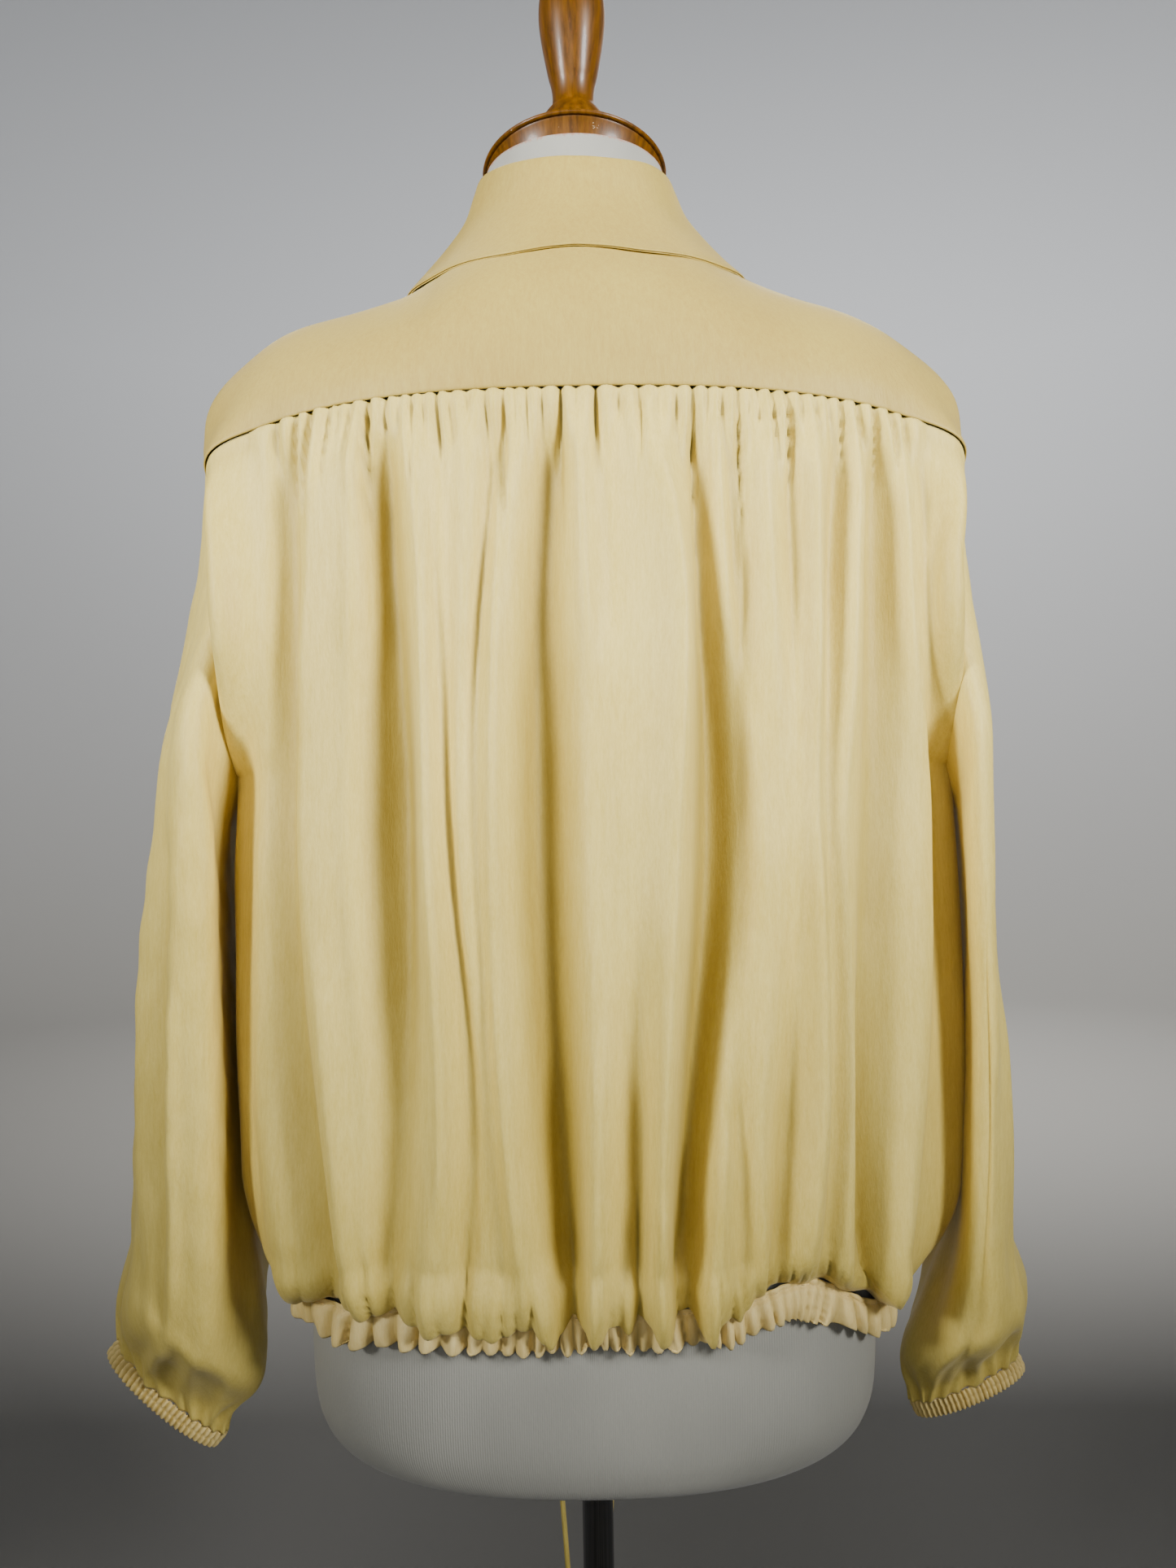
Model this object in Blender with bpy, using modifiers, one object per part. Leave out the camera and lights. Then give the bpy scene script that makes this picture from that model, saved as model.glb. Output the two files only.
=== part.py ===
"""A long-sleeved silk blouse, worn by a limbless dress form on a pole and a round base.

Tables and helpers give sizes in millimetres; new_mesh turns them to Blender's metres.
+Z is up, the wearer faces +Y and the wearer's right is +X. The origin is on the floor
under the pole. Heights in the tables count from MID, the middle of the blouse.
"""
import math
from collections import namedtuple

import bpy
from mathutils import Vector

MM = 0.001
MID = 930.0
TAU = 2.0 * math.pi

WALL = 1.0            # cloth walls
SEAM = 0.4            # how far a wall's edge stands back from a seam line
OVERLAY = 1.4         # a piece that lies on a panel: its wall and a gap

BODY_ROUND = 2.35     # superellipse exponent of the body's sections
ROOF_ROUND = 2.3      # the same for the arch over the shoulders
ROOF_FLATTER = 0.62   # how much lower that exponent is over the shoulders
UNDERARM = 0.42       # share of the way from yoke seam to hem casing

YOKE_COLUMNS = 38
YOKE_ROWS = 8
NECK_FROM = 12        # yoke columns 12 to 26 end at the neckline
NECK_TO = 26
BACK_COLUMNS = 76
NECK_COLUMNS = 8      # of each front panel, along its neckline
SEAM_COLUMNS = 12     # of each front panel, along the yoke's front seam
COLLAR_COLUMNS = 32
SLEEVE_SPLIT = 2      # sleeve columns to each length of the armhole's outline

HEM_HEIGHT = 21.0
GATHER = 2.2          # half height of a pucker under the yoke
RUFFLE = 2.6          # half depth of a ruffle on the hem casing
CRIMP = 0.8           # half depth of a cuff's crimps
CRIMPS = 48

Section = namedtuple("Section", "down mid side left right back front")
SECTIONS = (
    #        down    mid  side  left right back front
    Section(0.000,  206,  175,  219, 225, 114, 122),
    Section(0.168,  126,  112,  204, 207, 119, 136),
    Section(0.420,    6,   10,  199, 209, 124, 139),
    Section(0.540,  -50,  -46,  202, 211, 127, 139),
    Section(0.680, -117, -112,  202, 213, 129, 139),
    Section(0.820, -183, -180,  202, 212, 130, 137),
    Section(0.920, -231, -238,  200, 207, 131, 134),
    Section(0.965, -256, -272,  194, 198, 129, 130),
    Section(1.000, -270, -276,  176, 177, 121, 123),
)
BACK_ROWS = (0, 0.02, 0.084, 0.168, 0.252, 0.336, 0.42, 0.54, 0.68, 0.82, 0.92, 0.965, 1)
FRONT_ROWS = (0, 0.035, 0.084, 0.168, 0.252, 0.336, 0.42, 0.54, 0.68, 0.82, 0.92, 0.965, 1)

# The armhole seam, from the back end of the yoke down to the underarm and up the front.
Stop = namedtuple("Stop", "left right along height")
ARMHOLE = (
    #    left right along height
    Stop(211, 218, -47, 174), Stop(206, 212, -60, 147), Stop(200, 203, -66, 112), Stop(197, 202.5, -60, 70),
    Stop(198, 207, -32, 28), Stop(199, 209, 0, 10), Stop(200, 209, 34, 30), Stop(201, 208, 60, 72),
    Stop(205, 211, 67, 118), Stop(211, 217, 58, 158), Stop(218, 224, 36, 194), Stop(229, 232, 0, 207),
)
ARMHOLE_STOPS = (0, 1, 2, 3, 4, 5, 6, 7, 8, 9, 10, 10.5, 11, 11.5, 12)

Ridge = namedtuple("Ridge", "out left right")
RIDGE = (
    #     out  left right   height of the shoulder line
    Ridge(0,   326, 326), Ridge(62,  314, 316), Ridge(95,  297, 303), Ridge(125, 287, 291),
    Ridge(160, 279, 281), Ridge(190, 270, 270), Ridge(205, 254, 257), Ridge(214, 239, 243),
    Ridge(222, 223, 229), Ridge(229, 207, 214), Ridge(236, 192, 200),
)

Neck = namedtuple("Neck", "side back front turn")
NECK = Neck(64, 66, 88, math.radians(100))     # turn: from centre back to the yoke's front seam
SHOULDER_SEAM = (15.3, 36.0)                   # how far forward it lies, at the neck and the armhole

# Folds down a panel: where each ridge or valley runs, and its height off the smooth form.
Fold = namedtuple("Fold", "top middle low rise_top rise_middle rise_low")
BACK_FOLDS = (
    #     top  middle low   rise: top middle low
    Fold(-205, -203, -198,   0,    0,    0),
    Fold(-188, -190, -180,   2,    3,    4),
    Fold(-158, -172, -160,  -3,   -4,   -4),
    Fold(-132, -142, -136,   3,    5,    6),
    Fold(-108, -101, -116,  -6,   -9,   -8),
    Fold(-86,  -80,  -80,    3,    6,    6),
    Fold(-70,  -66,  -63,    0,    1,    1),
    Fold(-50,  -48,  -43,    3,    5,    6),
    Fold(-17,  -24,  -15,   -6,  -10,  -10),
    Fold(10,   2,    3,      2,    1,    4),
    Fold(29,   22,   14,     0,    0,    1),
    Fold(50,   46,   28,     4,    6,    6),
    Fold(74,   69,   48,    -5,   -9,   -9),
    Fold(98,   96,   84,     0,   -1,    2),
    Fold(128,  122,  117,    4,    6,    6),
    Fold(163,  160,  148,   -5,   -6,   -7),
    Fold(188,  195,  184,    3,    4,    4),
    Fold(208,  214,  208,    0,    0,    0),
)
FRONT_FOLDS_RIGHT = (
    Fold(18,   18,   18,     0,    0,    0),
    Fold(52,   46,   40,     1,    3,    4),
    Fold(78,   70,   62,    -1,   -5,   -6),
    Fold(108,  98,   92,     2,    5,    6),
    Fold(140,  130,  122,   -2,   -6,   -7),
    Fold(172,  164,  152,    2,    5,    5),
    Fold(196,  192,  184,   -1,   -3,   -3),
    Fold(214,  214,  208,    0,    0,    0),
)
FRONT_FOLDS_LEFT = (
    Fold(18,   18,   18,     0,    0,    0),
    Fold(44,   52,   46,     1,    4,    5),
    Fold(70,   80,   72,    -2,   -6,   -6),
    Fold(104,  108,  100,    2,    4,    5),
    Fold(132,  138,  132,   -1,   -4,   -6),
    Fold(166,  168,  160,    3,    5,    6),
    Fold(190,  190,  180,   -2,   -3,   -3),
    Fold(206,  203,  200,    0,    0,    0),
)

# The hem isn't level: each wave lifts or drops it around one place across the back.
Sway = namedtuple("Sway", "at reach rise")
HEM_SWAY = (Sway(168, 34, -20), Sway(112, 26, 9), Sway(-150, 40, -8))

Ring = namedtuple("Ring", "height left_out left_in right_out right_in deep")
SLEEVE_LEAN = 0.24    # how far a sleeve's section leans out towards the front
SLEEVE_RINGS = (
    #   height left_out left_in right_out right_in deep
    Ring(205,    234,    206,     236,      208,    62),
    Ring(125,    244,    211,     244,      214,    76),
    Ring(60,     251,    214,     246,      222,    84),
    Ring(-43,    263,    213,     249,      224,    86),
    Ring(-120,   274,    211,     251,      225,    84),
    Ring(-200,   280,    208,     253,      224,    78),
    Ring(-270,   283,    206,     254,      218,    70),
    Ring(-320,   294,    202,     268,      200,    58),
    Ring(-350,   295,    204,     268,      188,    46),
    Ring(-400,   280,    212,     258,      188,    40),
)
SLEEVE_ROWS = (0, 0.08, 0.18, 0.32, 0.48, 0.64, 0.78, 0.89, 0.95, 1)

SleeveFold = namedtuple("SleeveFold", "turn rise")
SLEEVE_FOLDS = (
    # turn in degrees from the outer side, through the back
    SleeveFold(0, 0), SleeveFold(28, 3), SleeveFold(62, -7), SleeveFold(104, 6),
    SleeveFold(150, 0), SleeveFold(210, 0), SleeveFold(256, 5), SleeveFold(296, -6),
    SleeveFold(334, 3), SleeveFold(360, 0),
)

Cuff = namedtuple("Cuff", "side out height half_length half_depth tilt")
CUFFS = (
    Cuff(-1, 263, -369, 43, 14, math.radians(41.7)),
    Cuff(1, 228, -372, 35, 14, math.radians(22.6)),
)
CUFF_HEIGHT = 11.0

# The collar around the neck: plan of its outer edge and height of its fold line.
CollarStop = namedtuple("CollarStop", "turn out along fold_height")
COLLAR = (
    CollarStop(0, 0, -90, 353),
    CollarStop(25, 41, -85, 354),
    CollarStop(50, 80, -58, 358),
    CollarStop(75, 99, -22, 361),
    CollarStop(95, 104, 10, 360),
    CollarStop(120, 97, 55, 350),
    CollarStop(145, 80, 88, 333),
    CollarStop(168, 60, 108, 322),
)
FOLD_PLAN = Neck(58.5, 61, 80, 0)
COLLAR_FALL = (0.08, 0.3, 0.55, 0.8, 1)

FormRing = namedtuple("FormRing", "height width back front squareness")
FORM = (
    #        height width back front squareness
    FormRing(370,   54,   54,   54, 2.0), FormRing(332,   54.5, 54.5, 54.5, 2.0),
    FormRing(316,   56,   55.5, 56, 2.0), FormRing(305,   62,   58,   59, 2.05),
    FormRing(296,   75,   61,   62, 2.1), FormRing(283,   97,   67,   67, 2.2),
    FormRing(266,   125,  76,   76, 2.3), FormRing(246,   152,  86,   86, 2.35),
    FormRing(218,   171,  94,   96, 2.35), FormRing(180,   180,  100,  109, 2.35),
    FormRing(130,   179,  102,  120, 2.35),
    FormRing(85,    164,  100,  118, 2.35),
    FormRing(0,     138,  94,   102, 2.35),
    FormRing(-70,   126,  90,   95, 2.35),
    FormRing(-150,  143,  99,   101, 2.35),
    FormRing(-220,  161,  110,  109, 2.35),
    FormRing(-270,  168,  114,  113, 2.35),
    FormRing(-340,  168,  115,  113, 2.35),
    FormRing(-366,  163,  111,  109, 2.35),
    FormRing(-378,  152,  102,  100, 2.35),
    FormRing(-380,  138,  90,   88, 2.35),
)
FORM_SIDES = 28

CAP_RIM = 373.5       # height of the neck cap's rim at its sides and front
CAP_RISE = 9.5        # how much higher the rim is at the back
CAP_TOP = 386.0
POLE_RADIUS = 9.5
BASE_RADIUS = 180.0
BASE_HEIGHT = 9.0
HUB_RADIUS = 22.0
HUB_HEIGHT = 34.0

TIE_WIDTH = 6.0
TIE_LENGTH = 330.0
Tie = namedtuple("Tie", "name at bow")
TIES = (Tie("tie_left", -25, -5), Tie("tie_right", 9, 6))

BUTTONS = 6
BUTTON_RADIUS = 5.5
BUTTON_THICK = 2.2
PLACKET_HALF = 14.0

Finish = namedtuple("Finish", "colour roughness metallic")
FINISHES = {
    "silk crepe": Finish((0.78, 0.67, 0.36), 0.75, 0.0),
    "doubled silk crepe": Finish((0.70, 0.58, 0.33), 0.75, 0.0),
    "cotton jersey": Finish((0.72, 0.72, 0.68), 0.9, 0.0),
    "varnished beech": Finish((0.42, 0.18, 0.04), 0.35, 0.0),
    "chromed steel": Finish((0.6, 0.6, 0.62), 0.15, 1.0),
    "painted steel": Finish((0.08, 0.08, 0.09), 0.5, 0.0),
    "resin button": Finish((0.75, 0.66, 0.42), 0.3, 0.0),
}


# ---------------------------------------------------------------- helpers

def ease(share):
    """0 to 1 with level ends."""
    share = min(1.0, max(0.0, share))
    return share * share * (3.0 - 2.0 * share)


def power(value, exponent):
    return max(value, 0.0) ** exponent


def along(table, key, value):
    """The row of a table at value of its key column, by a smooth curve through its rows."""
    knots = [getattr(row, key) for row in table]
    sign = 1.0 if knots[-1] > knots[0] else -1.0
    value = min(max(value * sign, knots[0] * sign), knots[-1] * sign) * sign
    at = 0
    while at < len(knots) - 2 and sign * knots[at + 1] < sign * value:
        at += 1
    span = knots[at + 1] - knots[at]
    share = (value - knots[at]) / span

    def slope(index, column):
        low = max(index - 1, 0)
        high = min(index + 1, len(knots) - 1)
        return (table[high][column] - table[low][column]) / (knots[high] - knots[low])

    result = []
    for column in range(len(table[0])):
        start, end = table[at][column], table[at + 1][column]
        tangent_start = slope(at, column) * span
        tangent_end = slope(at + 1, column) * span
        result.append(
            start * (2 * share ** 3 - 3 * share ** 2 + 1)
            + tangent_start * (share ** 3 - 2 * share ** 2 + share)
            + end * (3 * share ** 2 - 2 * share ** 3)
            + tangent_end * (share ** 3 - share ** 2)
        )
    return type(table[0])(*result)


def through_loop(stops, at):
    """A point on the closed smooth curve through stops, at a stop number with a fraction."""
    count = len(stops)
    index = int(math.floor(at))
    share = at - index
    before, start, end, after = (Vector(stops[(index + step) % count]) for step in (-1, 0, 1, 2))
    return 0.5 * (
        2 * start
        + (end - before) * share
        + (2 * before - 5 * start + 4 * end - after) * share ** 2
        + (3 * start - before - 3 * end + after) * share ** 3
    )


def new_mesh(name, points, faces, finish, smooth=True):
    mesh = bpy.data.meshes.new(name)
    mesh.from_pydata([((x * MM), (y * MM), ((z + MID) * MM)) for x, y, z in points], [], faces)
    mesh.update()
    if smooth:
        mesh.shade_smooth()
        mesh.set_sharp_from_angle(angle=math.radians(40))
    thing = bpy.data.objects.new(name, mesh)
    PARTS.objects.link(thing)
    thing.data.materials.append(material(finish))
    return thing


def material(name):
    found = bpy.data.materials.get(name)
    if found:
        return found
    finish = FINISHES[name]
    found = bpy.data.materials.new(name)
    found.use_nodes = True
    shader = found.node_tree.nodes["Principled BSDF"]
    shader.inputs["Base Color"].default_value = (*finish.colour, 1.0)
    shader.inputs["Roughness"].default_value = finish.roughness
    shader.inputs["Metallic"].default_value = finish.metallic
    return found


def cloth(name, rows, finish="silk crepe", ring=False, mirrored=False):
    """A cloth wall under rows of points, which run down and, seen from outside, left to right."""
    width = len(rows[0])
    points = [point for row in rows for point in row]
    faces = []
    for row in range(len(rows) - 1):
        for column in range(width if ring else width - 1):
            after = (column + 1) % width
            corners = [row * width + column, (row + 1) * width + column,
                       (row + 1) * width + after, row * width + after]
            faces.append(corners[::-1] if mirrored else corners)
    thing = new_mesh(name, points, faces, finish)
    solidify = thing.modifiers.new("wall", "SOLIDIFY")
    solidify.thickness = WALL * MM
    solidify.offset = -1.0
    solidify.use_even_offset = True
    return thing


# ---------------------------------------------------------------- the blouse's form

ARMHOLE_LINES = {side: [(side * getattr(stop, word), stop.along, stop.height) for stop in ARMHOLE]
                 for side, word in ((-1.0, "left"), (1.0, "right"))}


def armhole_curve(side, at):
    return through_loop(ARMHOLE_LINES[side], at)


def armhole(side, at):
    """A point on the armhole's outline, whose corners every piece that meets there shares."""
    for start, end in zip(ARMHOLE_STOPS, ARMHOLE_STOPS[1:]):
        if at <= end:
            break
    share = (at - start) / (end - start)
    return armhole_curve(side, start).lerp(armhole_curve(side, end), share)


def even_steps(half_width, half_depth, roundness, last_turn, steps=240):
    """Turns of an oval, from its end of depth, and the even share of the way that each one marks."""
    marks = [(0.0, 0.0)]
    before = None
    for step in range(steps + 1):
        turn = last_turn * step / steps
        spot = Vector((math.copysign(half_width * abs(math.sin(turn)) ** (2 / roundness), math.sin(turn)),
                       math.copysign(half_depth * abs(math.cos(turn)) ** (2 / roundness), math.cos(turn))))
        if step:
            marks.append((turn, marks[-1][1] + (spot - before).length))
        before = spot
    total = marks[-1][1]
    return [(turn, length / total) for turn, length in marks]


def match(marks, value, given, wanted):
    """Reads a list of marks: the wanted column where the given column has a value."""
    for start, end in zip(marks, marks[1:]):
        if value <= end[given]:
            break
    share = (value - start[given]) / (end[given] - start[given])
    return start[wanted] + (end[wanted] - start[wanted]) * share


BODY_STEPS = even_steps(208, 124, BODY_ROUND, math.pi / 2)


def hem_sway(x):
    return sum(sway.rise * math.exp(-((x - sway.at) / sway.reach) ** 2) for sway in HEM_SWAY)


def plain_body(across, down, face):
    """The body's smooth form: across runs from -1 to 1, face is -1 on the back, 1 on the front."""
    section = along(SECTIONS, "down", down)
    side = math.copysign(1.0, across)
    turn = match(BODY_STEPS, min(abs(across), 1.0), 1, 0)
    width = section.right if side > 0 else section.left
    depth = section.front if face > 0 else section.back
    x = side * width * power(math.sin(turn), 2 / BODY_ROUND)
    y = face * depth * power(math.cos(turn), 2 / BODY_ROUND)
    z = section.mid + (section.side - section.mid) * abs(across) ** 3
    return Vector((x, y, z + hem_sway(x) * ease((down - 0.82) / 0.18)))


def body(across, down, face):
    """The smooth form, drawn to the armhole where the panel ends on it."""
    point = plain_body(across, down, face)
    if down >= UNDERARM:
        return point
    side = math.copysign(1.0, across)
    share = 5.0 * down / UNDERARM
    goal = armhole(side, share if face < 0 else 10.0 - share)
    pull = ease((abs(across) - 0.6) / 0.4)
    return point + (goal - plain_body(side, down, face)) * pull


def outward(point, down, face):
    """The level direction that faces away from the body's form."""
    section = along(SECTIONS, "down", down)
    width = section.right if point.x > 0 else section.left
    depth = section.front if face > 0 else section.back
    x = math.copysign((abs(point.x) / width) ** (BODY_ROUND - 1) / width, point.x)
    y = math.copysign((abs(point.y) / depth) ** (BODY_ROUND - 1) / depth, point.y)
    return Vector((x, y, 0.0)).normalized()


def fold_rise(folds, x, down):
    """How far the folds lift the cloth off the smooth form, at x and the share down."""
    if down < 0.5:
        low, high, share = 0, 1, ease(down / 0.5)
    else:
        low, high, share = 1, 2, ease((down - 0.5) / 0.5)
    lines = [(fold[low] + (fold[high] - fold[low]) * share,
              fold[low + 3] + (fold[high + 3] - fold[low + 3]) * share) for fold in folds]
    if x <= lines[0][0] or x >= lines[-1][0]:
        return 0.0
    fade = 1 - ease((down - 0.91) / 0.09)
    for (x_start, start), (x_end, end) in zip(lines, lines[1:]):
        if x <= x_end:
            return fade * (start + (end - start) * ease((x - x_start) / (x_end - x_start)))


def foot(x, face):
    """Where the arch over the shoulders stands, at a distance from the middle."""
    side = math.copysign(1.0, x)
    width = SECTIONS[0].right if side > 0 else SECTIONS[0].left
    reach = min(1.0, abs(x) / width)
    turn = math.asin(reach ** (BODY_ROUND / 2))
    return body(side * match(BODY_STEPS, turn, 0, 1), 0.0, face)


def ridge_height(x):
    row = along(RIDGE, "out", abs(x))
    return row.left + (row.right - row.left) * ease((x + 60) / 120)


def roof_round(x):
    """The arch is full over the neck and falls off sooner over the shoulders."""
    return ROOF_ROUND - ROOF_FLATTER * ease((abs(x) - 15) / 90)


def arch(x, turn):
    """A point of the arch: turn is 0 at its back foot and pi at its front foot."""
    face = -1.0 if turn < math.pi / 2 else 1.0
    stand = foot(x, face)
    level = power(abs(math.cos(turn)), 2 / roof_round(x))
    lift = power(math.sin(turn), 2 / roof_round(x))
    return Vector((x, stand.y * level, stand.z + (ridge_height(x) - stand.z) * lift))


def arch_turn(x, y):
    """The turn at which the arch at x passes y."""
    stand = foot(x, math.copysign(1.0, y))
    turn = math.acos(min(1.0, abs(y / stand.y)) ** (roof_round(x) / 2))
    return turn if y < 0 else math.pi - turn


def roof(x, y):
    return arch(x, arch_turn(x, y))


def roof_out(x, y):
    """The direction that faces away from the arch at a point of the plan."""
    step = 2.0
    across = roof(x + step, y) - roof(x - step, y)
    forward = roof(x, y + step) - roof(x, y - step)
    return across.cross(forward).normalized()


def clear_of_roof(point, distance):
    """The point, moved out where it comes nearer to the arch than distance."""
    if abs(point.y) >= abs(foot(point.x, math.copysign(1.0, point.y)).y) - 3.0:
        return point
    out = roof_out(point.x, point.y)
    short = distance - (point - roof(point.x, point.y)).dot(out)
    return point + out * max(0.0, short)


def neck_plan(plan, turn):
    """Plan of an oval around the neck; turn is 0 at the centre back."""
    reach = plan.back if math.cos(turn) > 0 else plan.front
    return plan.side * math.sin(turn), -reach * math.cos(turn)


def yoke_end(column):
    """Where a yoke column ends: on the neckline, or on the yoke's front seam."""
    if NECK_FROM <= column <= NECK_TO:
        middle = (NECK_FROM + NECK_TO) / 2
        x, y = neck_plan(NECK, NECK.turn * (column - middle) / (NECK_TO - middle))
        return roof(x, y)
    side = -1.0 if column < NECK_FROM else 1.0
    beyond = NECK_FROM - column if side < 0 else column - NECK_TO
    share = beyond / NECK_FROM
    if share == 1.0:
        return armhole(side, 10)
    share = 1 - (1 - share) ** 1.5
    x_neck = NECK.side * math.sin(NECK.turn)
    x = side * (x_neck + (abs(armhole(side, 10).x) - x_neck) * share)
    y = SHOULDER_SEAM[0] + (SHOULDER_SEAM[1] - SHOULDER_SEAM[0]) * share
    return roof(x, y)


def yoke_arch(start, end, share):
    """The arch from one end of a yoke column to the other."""
    turn = arch_turn(end.x, end.y)
    point = arch(start.x + (end.x - start.x) * share, turn * share)
    point += (start - arch(start.x, 0.0)) * (1 - share) ** 2
    return point + (end - arch(end.x, turn)) * share ** 2


def yoke_point(column, share):
    across = -1.0 + 2.0 * column / YOKE_COLUMNS
    side = math.copysign(1.0, across)
    point = yoke_arch(body(across, 0.0, -1), yoke_end(column), share)
    seam = armhole(side, 12 - 2 * share)
    edge = yoke_arch(armhole(side, 0), armhole(side, 10), share)
    return point + (seam - edge) * ease((abs(across) - 0.7) / 0.3)


def nearest(point, line):
    """The point of a line of points that lies nearest."""
    found = None
    for start, end in zip(line, line[1:]):
        way = end - start
        share = min(1.0, max(0.0, (point - start).dot(way) / max(way.length_squared, 1e-9)))
        spot = start + way * share
        if found is None or (spot - point).length < (found - point).length:
            found = spot
    return found


def stand_back(rows, first_row=False, last_row=False, first_column=False, last_column=False):
    """Draws a wall's edges back from its seams, along the cloth."""
    def shift(edge, inner):
        return [(nearest(point, inner) - point).normalized() * SEAM for point in edge]

    columns = list(zip(*rows))
    moved = [list(row) for row in rows]
    for wanted, edge, inner, place in (
            (first_row, rows[0], rows[1], lambda index: (0, index)),
            (last_row, rows[-1], rows[-2], lambda index: (-1, index)),
            (first_column, columns[0], columns[1], lambda index: (index, 0)),
            (last_column, columns[-1], columns[-2], lambda index: (index, -1))):
        if wanted:
            for index, step in enumerate(shift(edge, inner)):
                row, column = place(index)
                moved[row][column] = moved[row][column] + step
    return moved


# ---------------------------------------------------------------- the blouse's pieces

def relaxed(rows, strength, rounds=6):
    """Evens out the inner points of a grid; strength gives each column's share of it."""
    for _ in range(rounds):
        before = [list(row) for row in rows]
        for row in range(1, len(rows) - 1):
            for column in range(1, len(rows[0]) - 1):
                middle = (before[row - 1][column] + before[row + 1][column]
                          + before[row][column - 1] + before[row][column + 1]) / 4
                rows[row][column] = before[row][column].lerp(middle, 0.5 * strength(column))
    return rows


def make_yoke():
    rows = [[yoke_point(column, row / YOKE_ROWS) for column in range(YOKE_COLUMNS + 1)]
            for row in range(YOKE_ROWS, -1, -1)]
    rows = relaxed(rows, lambda column: ease((abs(2 * column / YOKE_COLUMNS - 1) - 0.6) / 0.2))
    cloth("yoke", stand_back(rows, True, True, True, True), "doubled silk crepe")


def back_point(column, down):
    across = -1.0 + 2.0 * column / BACK_COLUMNS
    if down == 0.0 and column % 2:
        # between two corners of the yoke's seam, so that the edges match
        either = [body(across + 2 * step / BACK_COLUMNS, 0.0, -1) for step in (-1, 1)]
        point = either[0].lerp(either[1], 0.5)
    else:
        point = body(across, down, -1)
    edge = 1.0 - ease((abs(across) - 0.86) / 0.12)
    gathered = 1.0 - ease((abs(across) - 0.72) / 0.14)
    rise = fold_rise(BACK_FOLDS, point.x, down) * ease(down / 0.1)
    pucker = (0.65 + 0.35 * ease(down / 0.02)) * (1 - ease(down / 0.2))
    rise += GATHER * gathered * pucker * (1 if column % 2 else -1)
    rise += back_ruffle(column) * ease((down - 0.86) / 0.14)
    return point + outward(point, down, -1) * rise * edge


def back_ruffle(column):
    return RUFFLE * math.sin(TAU * column / 3.0 + 0.5)


def front_ruffle(column):
    return RUFFLE * 0.8 * (1 if column % 2 else -1)


def make_back():
    rows = [[back_point(column, down) for column in range(BACK_COLUMNS + 1)] for down in BACK_ROWS]
    cloth("back", stand_back(rows, True, True, True, True))
    return rows[-1]


def front_top(side, column):
    """The upper end of a front column: on the neckline, then on the yoke's front seam."""
    if column < NECK_COLUMNS:
        share = column / NECK_COLUMNS
        x, y = neck_plan(NECK, math.pi - (math.pi - NECK.turn) * share)
        return roof(side * x, y)
    beyond = column - NECK_COLUMNS
    return yoke_end(NECK_TO + beyond if side > 0 else NECK_FROM - beyond)


def front_point(side, column, share):
    columns = NECK_COLUMNS + SEAM_COLUMNS
    across = side * max(column / columns, 1e-6)
    top = front_top(side, column)
    level = body(across, 0.0, 1)
    hem = SECTIONS[-1].mid
    on_arch = max(0.0, (top.z - level.z) / (top.z - hem))
    if share < on_arch:
        part = share / on_arch
        turn = arch_turn(top.x, top.y)
        point = arch(top.x + (level.x - top.x) * part, turn + (math.pi - turn) * part)
        return point
    down = (share - on_arch) / (1 - on_arch)
    point = body(across, down, 1)
    folds = FRONT_FOLDS_RIGHT if side > 0 else FRONT_FOLDS_LEFT
    edge = 1.0 - ease((abs(across) - 0.88) / 0.12)
    rise = fold_rise(folds, abs(point.x), down) * ease(down / 0.15)
    centre = ease((column - 1) / 3)
    rise += front_ruffle(column) * ease((down - 0.86) / 0.14) * centre
    return point + outward(point, down, 1) * rise * edge


def make_front(side, name):
    columns = range(NECK_COLUMNS + SEAM_COLUMNS + 1)
    rows = [[front_point(side, column, share) for column in columns] for share in FRONT_ROWS]
    rows = stand_back(rows, True, True, True, True)
    cloth(name, rows, mirrored=side > 0)
    return rows


def make_placket(rows_right, rows_left):
    """The band over the meeting front edges, from the panels' points moved out."""
    rows = []
    for row, (right, left) in enumerate(zip(rows_right, rows_left)):
        steps = []
        for x in (PLACKET_HALF, PLACKET_HALF / 2, 0.0, -PLACKET_HALF / 2, -PLACKET_HALF):
            line = right if x >= 0 else left
            near, far = line[0], line[1]
            for near, far in zip(line, line[1:]):
                if abs(far.x) >= abs(x):
                    break
            share = (abs(x) - abs(near.x)) / (abs(far.x) - abs(near.x))
            point = near.lerp(far, max(0.0, share))
            steps.append(Vector((x, point.y, point.z)))
        rows.append(steps)
    shifted = []
    for row, steps in enumerate(rows):
        above = rows[max(row - 1, 0)][2]
        below = rows[min(row + 1, len(rows) - 1)][2]
        down = (below - above).normalized()
        out = Vector((0.0, -down.z, down.y))
        shifted.append([point + out * (OVERLAY + 0.5) for point in steps])
    shifted = stand_back(shifted, last_row=True)
    cloth("placket", shifted, "doubled silk crepe")
    return shifted


def make_buttons(placket):
    """Flat round buttons, spaced evenly down the placket's middle line."""
    line = [row[2] for row in placket]
    lengths = [(after - before).length for before, after in zip(line, line[1:])]
    total = sum(lengths)
    for number in range(BUTTONS):
        reach = total * (number + 0.5) / (BUTTONS + 0.4)
        for index, length in enumerate(lengths):
            if reach <= length:
                break
            reach -= length
        down = (line[index + 1] - line[index]).normalized()
        out = Vector((0.0, -down.z, down.y))
        place = line[index] + down * reach + out * (BUTTON_THICK / 2 + 0.35)
        bpy.ops.mesh.primitive_cylinder_add(
            vertices=16, radius=BUTTON_RADIUS * MM, depth=BUTTON_THICK * MM,
            location=(place + Vector((0, 0, MID))) * MM,
            rotation=out.to_track_quat("Z", "Y").to_euler())
        button = bpy.context.object
        button.name = f"button_{number + 1}"
        take(button, "resin button")


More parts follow.
